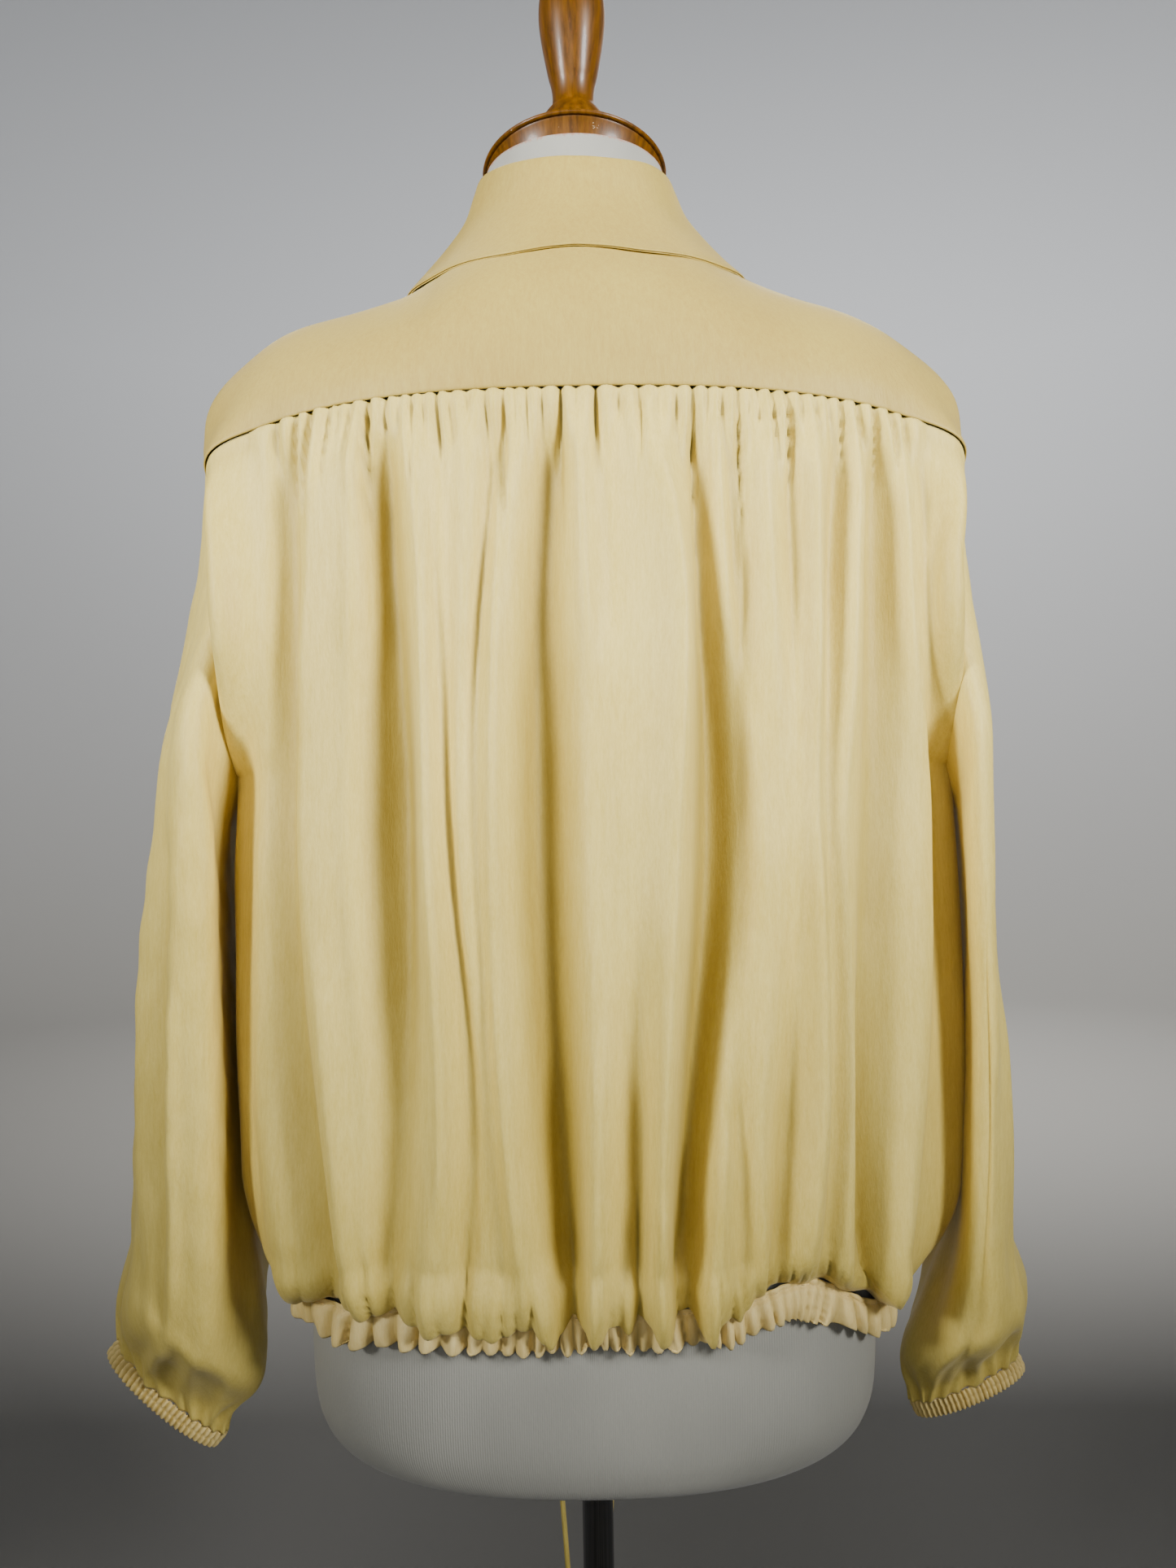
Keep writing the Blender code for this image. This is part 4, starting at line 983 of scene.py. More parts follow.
def through(knots, values, at):
    """A smooth curve through values at rising knots, read at an array of places."""
    knots, values = np.asarray(knots, float), np.asarray(values, float)
    slopes = np.gradient(values, knots)
    index = np.clip(np.searchsorted(knots, at) - 1, 0, len(knots) - 2)
    span = knots[index + 1] - knots[index]
    share = np.clip((at - knots[index]) / span, 0.0, 1.0)
    return from_to(values[index], values[index + 1], slopes[index] * span, slopes[index + 1] * span, share)


def laid(form, rise, closed=False, mirrored=False):
    """The form's points, moved out of its face by rise."""
    return form + outward(form, closed, mirrored) * np.broadcast_to(rise, form.shape[:2])[..., None]


def back_folds(x, z):
    """The broad folds of the back at distance x and height z."""
    heights = FOLD_HEIGHTS[::-1]
    lines = [through(heights, (fold.hem, fold.lower, fold.middle, fold.upper, fold.seam), z) for fold in BACK_FOLDS]
    rises = [through((-180, -15, 109), (fold.rise_lower, fold.rise_middle, fold.rise_upper), z)
             for fold in BACK_FOLDS]
    return folds_between(x, lines, rises) * FOLD_SCALE


def make_back(cloth):
    across, down = dense(300, 1.3, 1.3, 0.1), dense(160, 3.2, 4.0, 0.16)
    form = fine(coarse(lambda u, v: body(2 * u - 1 + 1e-6, v, -1), 64, 48), across, down)
    x, z = form[..., 0], form[..., 2]
    wide = np.abs(2 * across - 1)[None, :]
    drop = form[:1, :, 2] - z
    height = z - form[-1:, :, 2]
    below = down[:, None]
    edge = 1 - ease((wide - 0.86) / 0.12)
    folds = back_folds(x, z) * ease(drop / 45) * (1 - 0.7 * ease((below - 0.92) / 0.08))
    folds += press(x, z, BACK_CREASES) * ease(drop / 6)
    rise = folds * cloth.fold_depth
    wander = crumple(form, 3, 90, 1.6) * ease(drop / 30)
    gathers, reach = ripple(x + wander, YOKE_GATHERS)
    puckers = gathers * YOKE_PUCKER * (0.65 + 0.35 * ease(drop / 10)) * (1 - ease((drop - 0.25 * reach) / reach))
    gathers, reach = ripple(x + wander, HEM_GATHERS)
    puckers += gathers * HEM_PUCKER * (1 - ease((height - 0.2 * reach) / reach)) * ease(height / 4)
    rise += puckers * cloth.gather_depth
    rise += crumple(form * np.array([1.0, 1.0, 0.3]), 5, 26, 0.45) * ease(drop / 25)
    rise -= 0.6 * (1 - ease(drop / 2.5))
    hang = sum(over.drop * bell(x, over.at, over.reach) for over in OVERHANGS)
    low = np.clip(1 - height / OVERHANG_BEND, 0.0, 1.0)
    rise += hang * 0.55 * ease(low / 0.5) * (1 - ease((low - 0.86) / 0.14))
    sides = (7.0 + 4.0 * (x > 0)) * bell(wide, 0.88, 0.07) * ease(drop / 90) * ease(height / 60)
    form = laid(form, rise * edge + sides - 0.8 * bell((1 - wide) * 270, 0, 3))
    form[..., 2] -= hang * edge * ease(low / 0.82) * (1 - ease((low - 0.82) / 0.18))
    # Painted shade: deepest in the troughs of the broad folds and under the gathers.
    valley = (np.clip((2.0 - folds) / 14, 0.0, 1.0) + 0.7 * ease(-puckers / 3.4)) * edge
    piece = shell("back_cloth", form, "silk", cloth, "back", valley=np.clip(valley, 0.0, 1.0))
    return cut_to(piece)


def relaxed(grid, strength, rounds=6):
    """Evens out the inner points of a grid; strength gives each column's share of it."""
    for _ in range(rounds):
        middle = (grid[:-2, 1:-1] + grid[2:, 1:-1] + grid[1:-1, :-2] + grid[1:-1, 2:]) / 4
        grid[1:-1, 1:-1] += (middle - grid[1:-1, 1:-1]) * 0.5 * strength[None, 1:-1, None]
    return grid


def make_yoke(cloth):
    across, down = dense(250, 1.2, 1.2, 0.1), dense(56, 1.0, 4.0, 0.25)
    grid = grid_of(coarse(lambda u, v: yoke_point(2 * u - 1 + 1e-6, 1 - v), 38, 8))
    grid = relaxed(grid, ease((np.abs(np.linspace(-1, 1, 39)) - 0.6) / 0.2))
    form = spline(spline(grid, down, 0), across, 1)
    x = form[..., 0]
    height = np.linalg.norm(form - form[-1:], axis=2)
    gathers, reach = ripple(x, YOKE_GATHERS)
    rise = 0.8 + gathers * 0.55 * (1 - ease(height / 14)) * cloth.gather_depth
    rise += crumple(form, 11, 70, 0.5) * ease(height / 20)
    rise -= 0.7 * (1 - ease(height / 1.6))
    wide = np.abs(2 * across - 1)[None, :]
    to_front = np.linalg.norm(form - form[:1], axis=2)
    rise = rise + 4.5 * bell(wide, 0.86, 0.08) * ease((height - 22) / 30) * ease((to_front - 4) / 30)
    rise = rise - 0.6 * bell((1 - wide) * 240, 0, 3)
    form = laid(form, rise)
    piece = shell("yoke_cloth", form, "doubled", cloth, "yoke")
    return cut_to(piece)


def front_grid(side, columns, rows):
    """A front panel's smooth form, its columns from the centre to the side."""
    return fine(coarse(lambda u, v: front_point(side, u, v), 30, 56), columns, rows)


def front_folds(side, form, down, cloth):
    """The folds, hem gathers and swells of a front panel."""
    across = np.abs(form[..., 0])
    level = form[..., 2]
    folds = FRONT_FOLDS_RIGHT if side > 0 else FRONT_FOLDS_LEFT
    heights = (-250, -40, 160)
    lines = [through(heights, (fold.low, fold.middle, fold.top), level) for fold in folds]
    rises = [through(heights, (fold.rise_low, fold.rise_middle, fold.rise_top), level) for fold in folds]
    rise = folds_between(across, lines, rises) * ease((190 - level) / 120) * (1 - 0.85 * ease((down - 0.9) / 0.1))
    height = level - form[-1:, :, 2]
    gathers, reach = ripple(side * across * 0.95 + 4, HEM_GATHERS)
    rise = rise * cloth.fold_depth
    puckers = gathers * FRONT_PUCKER * (1 - ease((height - 0.2 * reach) / reach)) * ease((across - 16) / 10)
    rise += puckers * cloth.gather_depth
    rise += crumple(form * np.array([1.0, 1.0, 0.4]), 21 + int(side), 34, 0.6)
    return rise


def make_front(side, name, cloth):
    across, down = dense(120, 1.4, 1.4, 0.1), dense(128, 1.5, 2.6, 0.16)
    form = front_grid(side, across, down)
    wide = across[None, :]
    edge = 1 - ease((wide - 0.88) / 0.12)
    rise = front_folds(side, form, down[:, None], cloth) * edge * ease((wide - 0.05) / 0.1)
    rise = rise - 0.8 * bell((1 - wide) * 270, 0, 3)
    form = laid(form, rise, mirrored=side > 0)
    # Painted shade in the troughs of the folds.
    valley = ease((1.5 - rise) / 17)
    piece = shell(f"{name}_cloth", form, "silk", cloth, name, mirrored=side > 0, valley=valley)
    return cut_to(piece)


def placket_line(rows):
    """The front edge's smooth line: the height and depth of the panels at the centre."""
    form = front_grid(1.0, np.linspace(0.0, 0.3, 12), rows)
    other = front_grid(-1.0, np.linspace(0.0, 0.3, 12), rows)
    lines = []
    for x in np.linspace(PLACKET_HALF, -PLACKET_HALF, 19):
        grid = form if x >= 0 else other
        lines.append([[x, *(np.interp(abs(x), np.abs(row[:, 0]), row[:, axis]) for axis in (1, 2))] for row in grid])
    return np.swapaxes(np.array(lines), 0, 1)


def make_placket(cloth):
    rows = dense(220, 1.5, 1.5, 0.1)
    form = placket_line(rows)
    reach = np.concatenate([[0.0], np.cumsum(np.linalg.norm(np.diff(form[:, 9], axis=0), axis=1))])
    rise = np.full(form.shape[:2], 1.9)
    edge = PLACKET_HALF - np.abs(form[..., 0])
    rise -= 1.1 * (1 - ease(edge / 1.8))
    rise -= 0.35 * bell(edge, 3.2, 0.7)
    rise += crumple(form, 31, 40, 0.35)
    form = laid(form, rise)
    piece = shell("placket_cloth", form, "doubled", cloth, "placket")
    cut_to(piece)
    for column, word in ((2, "right"), (16, "left")):
        line = form[6:-4, column] + outward(form)[6:-4, column] * 0.1
        stitches(f"placket_stitches_{word}", line, length=2.2, gap=0.9, thread=0.2)
    out = outward(form)
    for number in range(BUTTONS):
        place = reach[-1] * (number + 0.5) / (BUTTONS + 0.4)
        row = int(np.argmin(np.abs(reach - place)))
        way = form[min(row + 3, len(form) - 1), 9] - form[max(row - 3, 0), 9]
        make_button(number + 1, form[row, 9], out[row, 9], way)
    return piece


def turn_points(profile, turns):
    """Points of a turned form: a ring of turns for each radius and height of the profile."""
    return [(radius * math.cos(TAU * turn / turns), radius * math.sin(TAU * turn / turns), height)
            for radius, height in profile for turn in range(turns)]


HOLE_OUT = 1.05       # from a button's middle to its holes, to the side and up


def make_button(number, place, out, down):
    """A round four-hole button, dished, with a rim and a cross of thread over its shank."""
    name = f"button_{number}"
    turns = 40
    profile = ((0.6, -1.1), (4.6, -1.1), (5.2, -0.8), (5.5, 0.0), (5.4, 0.6), (5.0, 1.0), (4.4, 1.1),
               (3.9, 0.95), (3.5, 0.6), (3.0, 0.42), (2.2, 0.36), (1.2, 0.34), (0.05, 0.34))
    points = turn_points(profile, turns)
    faces = ring_faces(len(profile), turns)
    # each hole shows as the dark well of its own short tube
    hole = ((0.62, 0.37), (0.5, 0.43), (0.42, 0.36), (0.4, -0.4))
    for side, up in ((1, 1), (1, -1), (-1, 1), (-1, -1)):
        faces += ring_faces(len(hole), 16, len(points))
        points += [(side * HOLE_OUT + x, up * HOLE_OUT + y, height) for x, y, height in turn_points(hole, 16)]
    axes = frame_of(out, down)
    base = np.array(place) + out * 1.45
    placed = [tuple(base + axes @ np.array(point)) for point in points]
    cast = solid(f"{name}_cast", placed, faces, "resin", name)
    lines = []
    for slant in (1, -1):
        spots = [(slant * HOLE_OUT * way, HOLE_OUT * way, -0.2 + 1.1 * math.cos(math.pi * way / 2))
                 for way in np.linspace(-1, 1, 9)]
        lines.append([base + axes @ np.array(spot) for spot in spots])
    tubes(f"{name}_thread", lines, 0.26, "thread")
    return cast


def frame_of(out, down):
    """Three columns: to the side, up the cloth and out of it."""
    out = np.asarray(out, float) / np.linalg.norm(out)
    up = -np.asarray(down, float)
    up -= out * (up @ out)
    up /= np.linalg.norm(up)
    return np.stack([np.cross(up, out), up, out], axis=1)


def tubes(name, lines, radius, look, node=None, sides=8, flat=1.0):
    """Tubes along lines of points; flat gives their second radius as a share of the first."""
    points, faces = [], []
    for line in lines:
        line = np.asarray(line, float)
        ways = np.gradient(line, axis=0)
        ways /= np.linalg.norm(ways, axis=1, keepdims=True)
        side = np.cross(ways[0], [0.0, 1.0, 0.0] if abs(ways[0][1]) < 0.9 else [1.0, 0.0, 0.0])
        faces += capped(len(line), sides, len(points))
        for spot, way in zip(line, ways):
            side = side - way * (side @ way)
            side /= np.linalg.norm(side)
            up = np.cross(way, side)
            for corner in range(sides):
                turn = TAU * corner / sides
                points.append(tuple(spot + (side * math.cos(turn) + up * math.sin(turn) * flat) * radius))
    return solid(name, points, faces, look, node)


def make_casing(name, face, cloth):
    """The gathered casing below a panel's lower edge: ruffled unevenly, puffed and turned under."""
    across = dense(330, 1.2, 1.2, 0.1)
    down = np.linspace(0.0, 1.0, 36)
    sign = 1.0 if face < 0 else -1.0
    corners = grid_of([[body(sign * (2 * column / 64 - 1) + 1e-6, 1.0, face) for column in range(65)]])
    edge = spline(corners, across, 1)[0]
    way = np.gradient(edge, axis=0)
    out = np.stack([way[:, 1], -way[:, 0], np.zeros(len(way))], axis=1)
    out /= np.linalg.norm(out, axis=1, keepdims=True)
    x = edge[:, 0]
    place = x if face < 0 else x * 0.95 + 4
    slow = crumple(edge[None], 43, 45, 1.0)[0]
    quick = crumple(edge[None], 44, 15, 1.0)[0]
    ends = 1 - ease((np.abs(2 * across - 1) - 0.93) / 0.07)
    rows, waves = [], []
    for share in down:
        # down the outer side to the fold at 0.8 of the way, then up behind it
        outer = min(share / 0.8, 1.0)
        wave, reach = ripple(place + 3.5 * outer * slow, HEM_GATHERS)
        wave = (wave * (1 + 0.25 * quick) + 0.12 * quick * outer) * ends * cloth.gather_depth
        drop = (HEM_HEIGHT - 1 + 1.6 * slow * ends) * (outer if share <= 0.8 else 1 - (share - 0.8) * 1.2)
        puff = 2.4 * math.sin(math.pi * min(outer, 0.999)) ** 0.7 + 1.0 * outer
        dent = -1.3 * bell(outer, 0.14, 0.06)
        depth = puff + dent + wave * (2.2 + 7.6 * float(ease(outer)))
        if share > 0.8:
            depth = depth - 3.4 * float(ease((share - 0.8) / 0.1))
        row = edge + out * depth[:, None]
        row[:, 2] = edge[:, 2] - drop - wave * 3.0 * outer
        rows.append(row)
        waves.append(wave)
    form = np.array(rows)
    form = laid(form, crumple(form, 41, 14, 0.6))
    # Painted shade in the troughs of the ruffles.
    valley = ease((0.25 - np.array(waves)) / 0.9)
    piece = shell(f"{name}_cloth", form, "casing", cloth, name, valley=valley)
    row = int(0.13 * len(down))
    line = form[row, 3:-3] + outward(form)[row, 3:-3] * 0.12
    sewn = stitches(f"{name}_stitches", line, length=2.0, gap=1.0, thread=0.22)
    return cut_to(piece)


def make_collar(cloth):
    last = math.radians(COLLAR[-1].turn)
    rows = [collar_line(last * (2.0 * column / 64 - 1.0)) for column in range(65)]
    grid = grid_of(rows).swapaxes(0, 1)
    across, down = np.linspace(0.0, 1.0, 220), dense(70, 1.0, 2.0, 0.2)
    form = spline(spline(grid, down, 0), across, 1)
    height = np.linalg.norm(form - form[-1:], axis=2)
    rise = crumple(form, 51, 60, 0.5) * ease(height / 12) - 0.15 * bell(height, 1.6, 0.5)
    top = laid(form, rise + 0.5 - 0.45 * (1 - ease(height / 0.9)))
    piece = shell("collar_cloth", top, "doubled", cloth, "collar")
    cut_to(piece)
    # the under collar shows as a second edge, a little inside the first
    under = laid(form, rise - 0.75)[int(0.45 * len(down)):]
    under[-1] += (under[-2] - under[-1]) * 0.4
    facing = shell("collar_facing", under, "silk", cloth)
    return cut_to(facing)


def make_sleeve(cuff, cloth):
    name = f"sleeve_{cuff.word}"
    turns, down = np.linspace(0.0, 1.0, 205)[:-1], dense(100, 2.0, 3.5, 0.15)
    rows = [[sleeve_point(cuff, 12 * column / 48, row / 40) for column in range(48)] for row in range(41)]
    form = fine(rows, turns, down, closed=True)
    mirrored = cuff.side > 0
    turn = (360 * turns[None, :] + 30) % 360
    below = down[:, None]
    middle = ease(below / 0.12) * (1 - ease((below - 0.72) / 0.2))
    # the inner side in front lies close to the body
    inner = ease(-np.cos(np.radians(turn)) * 1.4) * ease(form[..., 1] / 40)
    form[..., 0] -= cuff.side * SLEEVE_TUCK * inner * middle
    long_folds = 0.0
    for fold in SLEEVE_FOLDS[cuff.word]:
        off = (turn - fold.turn - fold.lean * (below - 0.4) + 180) % 360 - 180
        fade = ease((below - fold.top) / 0.12) * (1 - ease((below - fold.low) / 0.12))
        long_folds = long_folds + fold.rise * bell(off, 0, fold.wide) * fade
    swells = crumple(form * np.array([1.0, 1.0, 0.35]), 61 + int(cuff.side), 60, 1.6)
    swells += crumple(form * np.array([1.0, 1.0, 0.8]), 65 + int(cuff.side), 24, 0.5)
    # creases that fan up from the gathered cuff
    fan = 0.0
    rng = np.random.default_rng(71 + int(cuff.side))
    for number in range(24):
        at = (number + rng.uniform(-0.3, 0.3)) * 360 / 24
        reach = rng.uniform(0.05, 0.2)
        lean = rng.uniform(-1.0, 1.0) * 30
        share = (1 - below) / reach
        off = (turn - at - lean * share * reach / 0.1 + 180) % 360 - 180
        fan = fan + rng.uniform(1.6, 3.2) * bell(off, 0, 4.0 + 6.0 * share) * (1 - ease(share))
    rise = swells * ease(below / 0.08) * (1 - 0.6 * ease((below - 0.92) / 0.08)) + fan * cloth.gather_depth
    rise = (rise + long_folds * cloth.fold_depth) * ease(below / 0.02) - 0.3
    form = laid(form, rise, closed=True, mirrored=mirrored)
    # Painted shade in the troughs of the long folds and swells, and between the creases above the cuff.
    valley = ease((0.5 - long_folds - 0.5 * swells) / 12) + 0.5 * ease((1.2 - fan) / 2.5) * ease((below - 0.88) / 0.1)
    piece = shell(f"{name}_cloth", form, "silk", cloth, name, closed=True, mirrored=mirrored,
                  valley=np.clip(valley, 0.0, 1.0))
    return cut_to(piece)


def make_cuff(cuff, cloth):
    name = f"cuff_{cuff.word}"
    crimps, steps = 54, 8
    turns = np.arange(crimps * steps) / (crimps * steps)
    marks = even_steps(cuff.half_depth, cuff.half_length, 2.0, TAU)
    around = np.interp(turns, [share for turn, share in marks], [turn for turn, share in marks])
    rng = np.random.default_rng(81 + int(cuff.side))
    sizes = np.interp(turns * crimps, np.arange(crimps), rng.uniform(0.6, 1.3, crimps), period=crimps)
    rows, waves = [], []
    for share in np.linspace(0.0, 1.0, 20):
        drop = (share - 0.5) * CUFF_HEIGHT
        wave = np.sin(TAU * turns * crimps + 0.5 * math.sin(share * 4)) * sizes
        puff = 1.1 * math.sin(math.pi * share) ** 0.6 - 0.5 * bell(share, 0.5, 0.09)
        rows.append([tuple(cuff_point(cuff, turn, drop, puff + 0.9 * swing)) for turn, swing in zip(around, wave)])
        waves.append(wave)
    form = np.array(rows)
    # Painted shade in the troughs of the crimps.
    piece = shell(f"{name}_cloth", form, "casing", cloth, name, closed=True, mirrored=cuff.side > 0,
                  valley=ease((0.5 - np.array(waves)) / 1.6))
    return cut_to(piece)


def tie_route(tie):
    """The route of a drawstring's free end: out of the casing, over its edge and down."""
    start = np.array([tie.x, tie.y, tie.z])
    route = [start + step for step in ((0, 0, 0), (0.1, 3, 0), (0.1, 5.5, -2), (0.2, 7.5, -5), (0.2, 8, -10))]
    for number in range(1, 13):
        share = number / 12
        sway = tie.bow * math.sin(share * math.pi * 1.3)
        route.append(start + (sway, 8 - 3 * share, -10 - (TIE_LENGTH - 18) * share))
    return np.array(route)


def make_tie(tie):
    route = tie_route(tie)
    line = spline(route, np.linspace(0.0, 1.0, 160), 0)
    cord = tubes(f"{tie.name}_cord", [line], TIE_WIDTH / 2, "silk", tie.name, sides=16, flat=0.62)
    return cord


# ---------------------------------------------------------------- the dress form

def make_torso():
    turns = 160
    rings = grid_of(form_ring(row, 64) for row in reversed(FORM))
    grid = spline(rings, np.linspace(0.0, 1.0, 110), 0)
    grid = spline(grid, np.arange(turns) / turns, 1, closed=True)
    return solid("torso_jersey", grid.reshape(-1, 3).tolist(), capped(len(grid), turns), "jersey", "torso")


def form_ring(row, sides):
    """The form's outline at the height of a row."""
    points = []
    for index in range(sides):
        turn = TAU * index / sides
        depth = row.front if math.sin(turn) > 0 else row.back
        points.append((swell(row.width, math.cos(turn), row.squareness),
                       swell(depth, math.sin(turn), row.squareness), row.height))
    return points


def make_cap():
    """A wedge of turned wood with a bead around its rim, which lifts at the back."""
    turns = 128
    neck = FORM[0].height
    side = [(52.0, None, 0), (53.6, -3.6, 1), (54.0, -2.9, 1), (54.0, -2.6, 1), (55.2, -2.5, 1), (55.9, -2.0, 1),
            (56.2, -1.2, 1), (56.0, -0.4, 1), (55.3, 0.1, 1), (54.4, 0.3, 1), (54.1, 0.5, 1), (54.0, 1.0, 1),
            (53.2, 1.4, 1), (50.0, 2.0, 0.95), (44.0, 3.4, 0.8), (37.0, 6.0, 0.5), (30.0, CAP_TOP - CAP_RIM, 0),
            (20.0, CAP_TOP - CAP_RIM, 0)]
    points = []
    for radius, rise, lift in side:
        for index in range(turns):
            turn = TAU * index / turns
            z = neck + 0.3
            if rise is not None:
                z = CAP_RIM + rise + lift * CAP_RISE * power(-math.sin(turn), 1.3)
            points.append((radius * math.cos(turn), radius * math.sin(turn), z))
    return solid("neck_cap_wood", points, capped(len(side), turns), "beech", "neck_cap")


def turned(name, profile, look, turns=96):
    """A turned solid from a profile that runs up, from its foot to its top."""
    return solid(f"{name}_turned", turn_points(profile, turns), capped(len(profile), turns), look, name)


def rounded(radius, top, size=2.0):
    """The points of a turned edge, from its side to its top."""
    return [(radius - size + size * math.cos(turn), top - size + size * math.sin(turn))
            for turn in np.linspace(0.2, math.pi / 2, 6)]


def make_finial():
    marks = np.array([(26.0, CAP_TOP + 0.3), (25.6, 389), (24.5, 394), (21.0, 404), (17.0, 410.5), (13.5, 415),
                      (12.7, 420), (13.4, 427), (15.6, 436), (19.2, 456), (20.5, 471), (19.0, 485), (15.0, 494),
                      (8.0, 499), (0.4, 500)])
    return turned("finial", spline(marks, np.linspace(0, 1, 90), 0).tolist(), "beech")


def make_stand():
    under = FORM[-1].height
    floor = -MID
    hub = floor + HUB_HEIGHT
    pole = turned("pole", [(POLE_RADIUS, hub + 0.3), (POLE_RADIUS, under - 0.3)], "chrome")
    plate = floor + BASE_HEIGHT
    profile = [(BASE_RADIUS, floor), (BASE_RADIUS, plate - 2.0), *rounded(BASE_RADIUS, plate),
               (HUB_RADIUS + 3, plate), (HUB_RADIUS + 0.9, plate + 0.9), (HUB_RADIUS, plate + 3),
               (HUB_RADIUS, hub - 2), *rounded(HUB_RADIUS, hub), (POLE_RADIUS + 0.4, hub)]
    base = turned("base", profile, "enamel", 128)
    return pole, base


# ---------------------------------------------------------------- camera, light and floor

CAMERA_HEIGHT = 0.930       # metres, level with the blouse's middle
CAMERA_REACH = 0.723        # from the pole's axis
CAMERA_LENS = 27.03         # millimetres, on a sensor 36 mm high
CAMERA_LEAN = math.radians(-1.0)


def make_camera():
    data = bpy.data.cameras.new("camera")
    data.lens = CAMERA_LENS
    data.sensor_width = 36.0
    data.clip_start = 0.02
    data.clip_end = 60.0
    camera = bpy.data.objects.new("camera", data)
    camera.location = (0.00175, -CAMERA_REACH, CAMERA_HEIGHT)
    level = Matrix.Rotation(math.radians(90), 3, "X")
    camera.rotation_euler = (level @ Matrix.Rotation(CAMERA_LEAN, 3, "Z")).to_euler()
    bpy.context.scene.collection.objects.link(camera)
    bpy.context.scene.camera = camera


def make_lamp(name, place, aim, size, power_watts, spread_degrees):
    data = bpy.data.lights.new(name, "AREA")
    data.shape = "DISK"
    data.size = size
    data.energy = power_watts
    data.spread = math.radians(spread_degrees)
    lamp = bpy.data.objects.new(name, data)
    lamp.location = place
    lamp.rotation_euler = (Vector(aim) - Vector(place)).to_track_quat("-Z", "Y").to_euler()
    bpy.context.scene.collection.objects.link(lamp)


def make_cove(look):
    """A round floor that curves up into a wall all the way round."""
    radius, bend, top = 6.5, 2.0, 6.0
    profile = [(0.01, 0.0), (1.0, 0.0), (3.0, 0.0), (radius - bend, 0.0)]
    profile += [(radius - bend + bend * math.sin(turn), bend - bend * math.cos(turn))
                for turn in np.linspace(0.1, math.pi / 2, 16)]
    profile.append((radius, top))
    turns = 96
    mesh = bpy.data.meshes.new("studio_cove")
    mesh.from_pydata(turn_points(profile, turns), [], [face[::-1] for face in ring_faces(len(profile), turns)])
    mesh.shade_smooth()
    cove = bpy.data.objects.new("studio_cove", mesh)
    cove.data.materials.append(studio_paper(look.paper_floor_shade, look.paper_wall_light))
    bpy.context.scene.collection.objects.link(cove)


# ---------------------------------------------------------------- the add-on

def colour_property(name, description, value):
    return bpy.props.FloatVectorProperty(name=name, description=description, subtype="COLOR", size=3,
                                         min=0.0, max=1.0, default=linear(value)[:3])


class BlouseCut(bpy.types.PropertyGroup):
    """Sizes of the cloth and its folds."""
    thickness: bpy.props.FloatProperty(
        name="Cloth thickness", description="Thickness of the cloth shells", default=0.0005,
        min=0.0003, max=0.001, unit="LENGTH", precision=5)
    fold_depth: bpy.props.FloatProperty(
        name="Fold depth", description="Scales the broad folds of the body", default=1.0,
        min=0.0, max=1.3, subtype="FACTOR")
    gather_depth: bpy.props.FloatProperty(
        name="Gather depth", description="Scales the gathers at the yoke, the hem and the cuffs", default=1.0,
        min=0.0, max=1.3, subtype="FACTOR")


class BlouseLook(bpy.types.PropertyGroup):
    """Colours of the cloth, the stand and the studio."""
    silk_light: colour_property("Silk, light", "The silk's paler yarns", "#E9D479")
    silk_dark: colour_property("Silk, dark", "The silk's deeper yarns", "#D1B856")
    # The yoke and collar are doubled silk, a little more beige; their tones are also set darker than the single
    # silk's as painted shade, since they face upward, away from the low light.
    doubled_shaded_light: colour_property("Doubled silk, light", "Paler yarns of the yoke and collar", "#BCA651")
    doubled_shaded_dark: colour_property("Doubled silk, dark", "Deeper yarns of the yoke and collar", "#AA8F40")
    casing_light: colour_property("Casing, light", "Paler yarns of the cuffs and hem casing", "#F6E09C")
    casing_dark: colour_property("Casing, dark", "Deeper yarns of the cuffs and hem casing", "#E2C578")
    wood_light: colour_property("Wood, light", "The beech's paler grain", "#6C4409")
    wood_dark: colour_property("Wood, dark", "The beech's deeper grain", "#452A05")
    enamel: colour_property("Base enamel", "The base plate's paint", "#252527")
    # The floor is set darker and the wall paler: painted shade low down and painted light up the wall.
    paper_floor_shade: colour_property("Floor", "The studio paper at floor level", "#9C9993")
    paper_wall_light: colour_property("Wall", "The studio paper where it climbs", "#DADCDF")


class StageOperator(bpy.types.Operator):
    """Adds the camera, the lamps and the round studio floor"""
    bl_idname = "blouse.stage"
    bl_label = "Camera, light and floor"

    def execute(self, context):
        make_camera()
        make_cove(context.scene.blouse_look)
        make_lamp("left_lamp", (-1.45, -1.2, 1.58), (0.0, -0.1, 1.22), 0.5, 4.2, 43)
        make_lamp("right_lamp", (1.4, -1.35, 1.66), (0.06, -0.1, 1.22), 0.6, 5.7, 43)
        make_lamp("front_lamp", (-0.3, -2.2, 1.5), (0.0, 0.0, 1.12), 1.2, 1.2, 50)
        make_lamp("far_lamp", (0.4, 1.6, 2.4), (0.0, 0.0, 1.25), 1.0, 0.8, 80)
        make_lamp("wall_lamp", (0.7, 1.6, 2.9), (0.7, 6.0, 2.0), 1.6, 240, 180)
        world = bpy.data.worlds.new("studio")
        world.use_nodes = True
        world.node_tree.nodes["Background"].inputs["Color"].default_value = linear("#E6EAF0")
        world.node_tree.nodes["Background"].inputs["Strength"].default_value = 0.1
        context.scene.world = world
        return {"FINISHED"}


class TiesOperator(bpy.types.Operator):
    """Adds the two free ends of the hem's drawstring"""
    bl_idname = "blouse.ties"
    bl_label = "Drawstring ends"

    def execute(self, context):
        for tie in TIES:
            make_tie(tie)
        return {"FINISHED"}


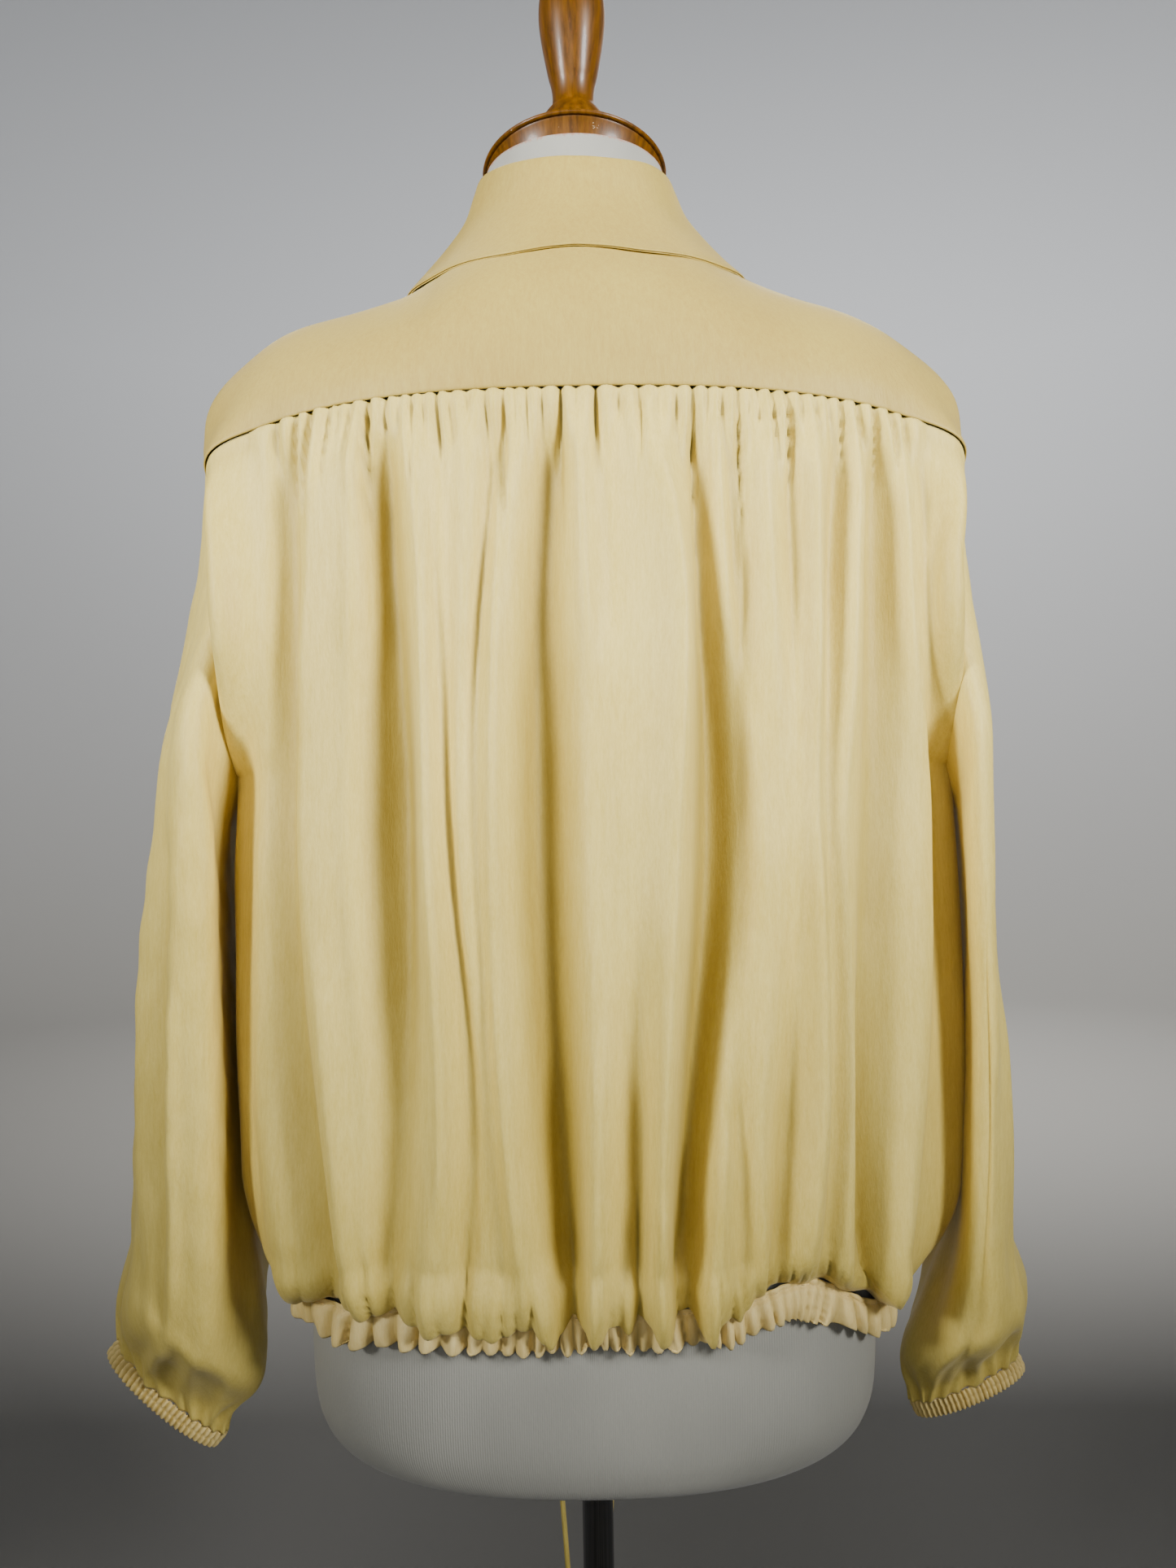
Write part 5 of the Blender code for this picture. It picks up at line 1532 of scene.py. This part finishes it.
class BodyOperator(bpy.types.Operator):
    """Adds the back, the yoke and the two front panels"""
    bl_idname = "blouse.body"
    bl_label = "Body and yoke"

    def execute(self, context):
        cut = context.scene.blouse_cut
        make_back(cut)
        make_yoke(cut)
        make_front(1.0, "front_right", cut)
        make_front(-1.0, "front_left", cut)
        return {"FINISHED"}


class PlacketOperator(bpy.types.Operator):
    """Adds the front band with its buttons"""
    bl_idname = "blouse.placket"
    bl_label = "Placket and buttons"

    def execute(self, context):
        make_placket(context.scene.blouse_cut)
        return {"FINISHED"}


class CasingOperator(bpy.types.Operator):
    """Adds the gathered casing around the hem"""
    bl_idname = "blouse.casing"
    bl_label = "Hem casing"

    def execute(self, context):
        make_casing("hem_back", -1, context.scene.blouse_cut)
        make_casing("hem_front", 1, context.scene.blouse_cut)
        return {"FINISHED"}


class CollarOperator(bpy.types.Operator):
    """Adds the collar with its stand and facing"""
    bl_idname = "blouse.collar"
    bl_label = "Collar"

    def execute(self, context):
        make_collar(context.scene.blouse_cut)
        return {"FINISHED"}


class SleevesOperator(bpy.types.Operator):
    """Adds the sleeves with their gathered cuffs"""
    bl_idname = "blouse.sleeves"
    bl_label = "Sleeves and cuffs"

    def execute(self, context):
        for cuff in CUFFS:
            make_sleeve(cuff, context.scene.blouse_cut)
            make_cuff(cuff, context.scene.blouse_cut)
        return {"FINISHED"}


class FormOperator(bpy.types.Operator):
    """Adds the jersey-covered form with its neck cap and knob"""
    bl_idname = "blouse.form"
    bl_label = "Dress form"

    def execute(self, context):
        make_torso()
        make_cap()
        make_finial()
        return {"FINISHED"}


class StandOperator(bpy.types.Operator):
    """Adds the pole and the round base"""
    bl_idname = "blouse.stand"
    bl_label = "Pole and base"

    def execute(self, context):
        make_stand()
        return {"FINISHED"}


OPERATORS = (StageOperator, TiesOperator, BodyOperator, PlacketOperator, CasingOperator, CollarOperator,
             SleevesOperator, FormOperator, StandOperator)


class BlousePanel(bpy.types.Panel):
    """Lists the blouse's pieces, sizes and colours"""
    bl_idname = "VIEW3D_PT_blouse"
    bl_label = "Blouse"
    bl_space_type = "VIEW_3D"
    bl_region_type = "UI"
    bl_category = "Blouse"

    def draw(self, context):
        for group in (context.scene.blouse_cut, context.scene.blouse_look):
            box = self.layout.box()
            for name in group.__annotations__:
                box.prop(group, name)
        for operator in OPERATORS:
            self.layout.operator(operator.bl_idname)


CLASSES = (BlouseCut, BlouseLook, *OPERATORS, BlousePanel)


def register():
    for item in CLASSES:
        bpy.utils.register_class(item)
    bpy.types.Scene.blouse_cut = bpy.props.PointerProperty(type=BlouseCut)
    bpy.types.Scene.blouse_look = bpy.props.PointerProperty(type=BlouseLook)


def unregister():
    del bpy.types.Scene.blouse_cut
    del bpy.types.Scene.blouse_look
    for item in reversed(CLASSES):
        bpy.utils.unregister_class(item)


def main():
    register()
    bpy.ops.blouse.stage()
    bpy.ops.blouse.ties()
    bpy.ops.blouse.body()
    bpy.ops.blouse.placket()
    bpy.ops.blouse.casing()
    bpy.ops.blouse.collar()
    bpy.ops.blouse.sleeves()
    bpy.ops.blouse.form()
    bpy.ops.blouse.stand()


if __name__ == "__main__":
    main()
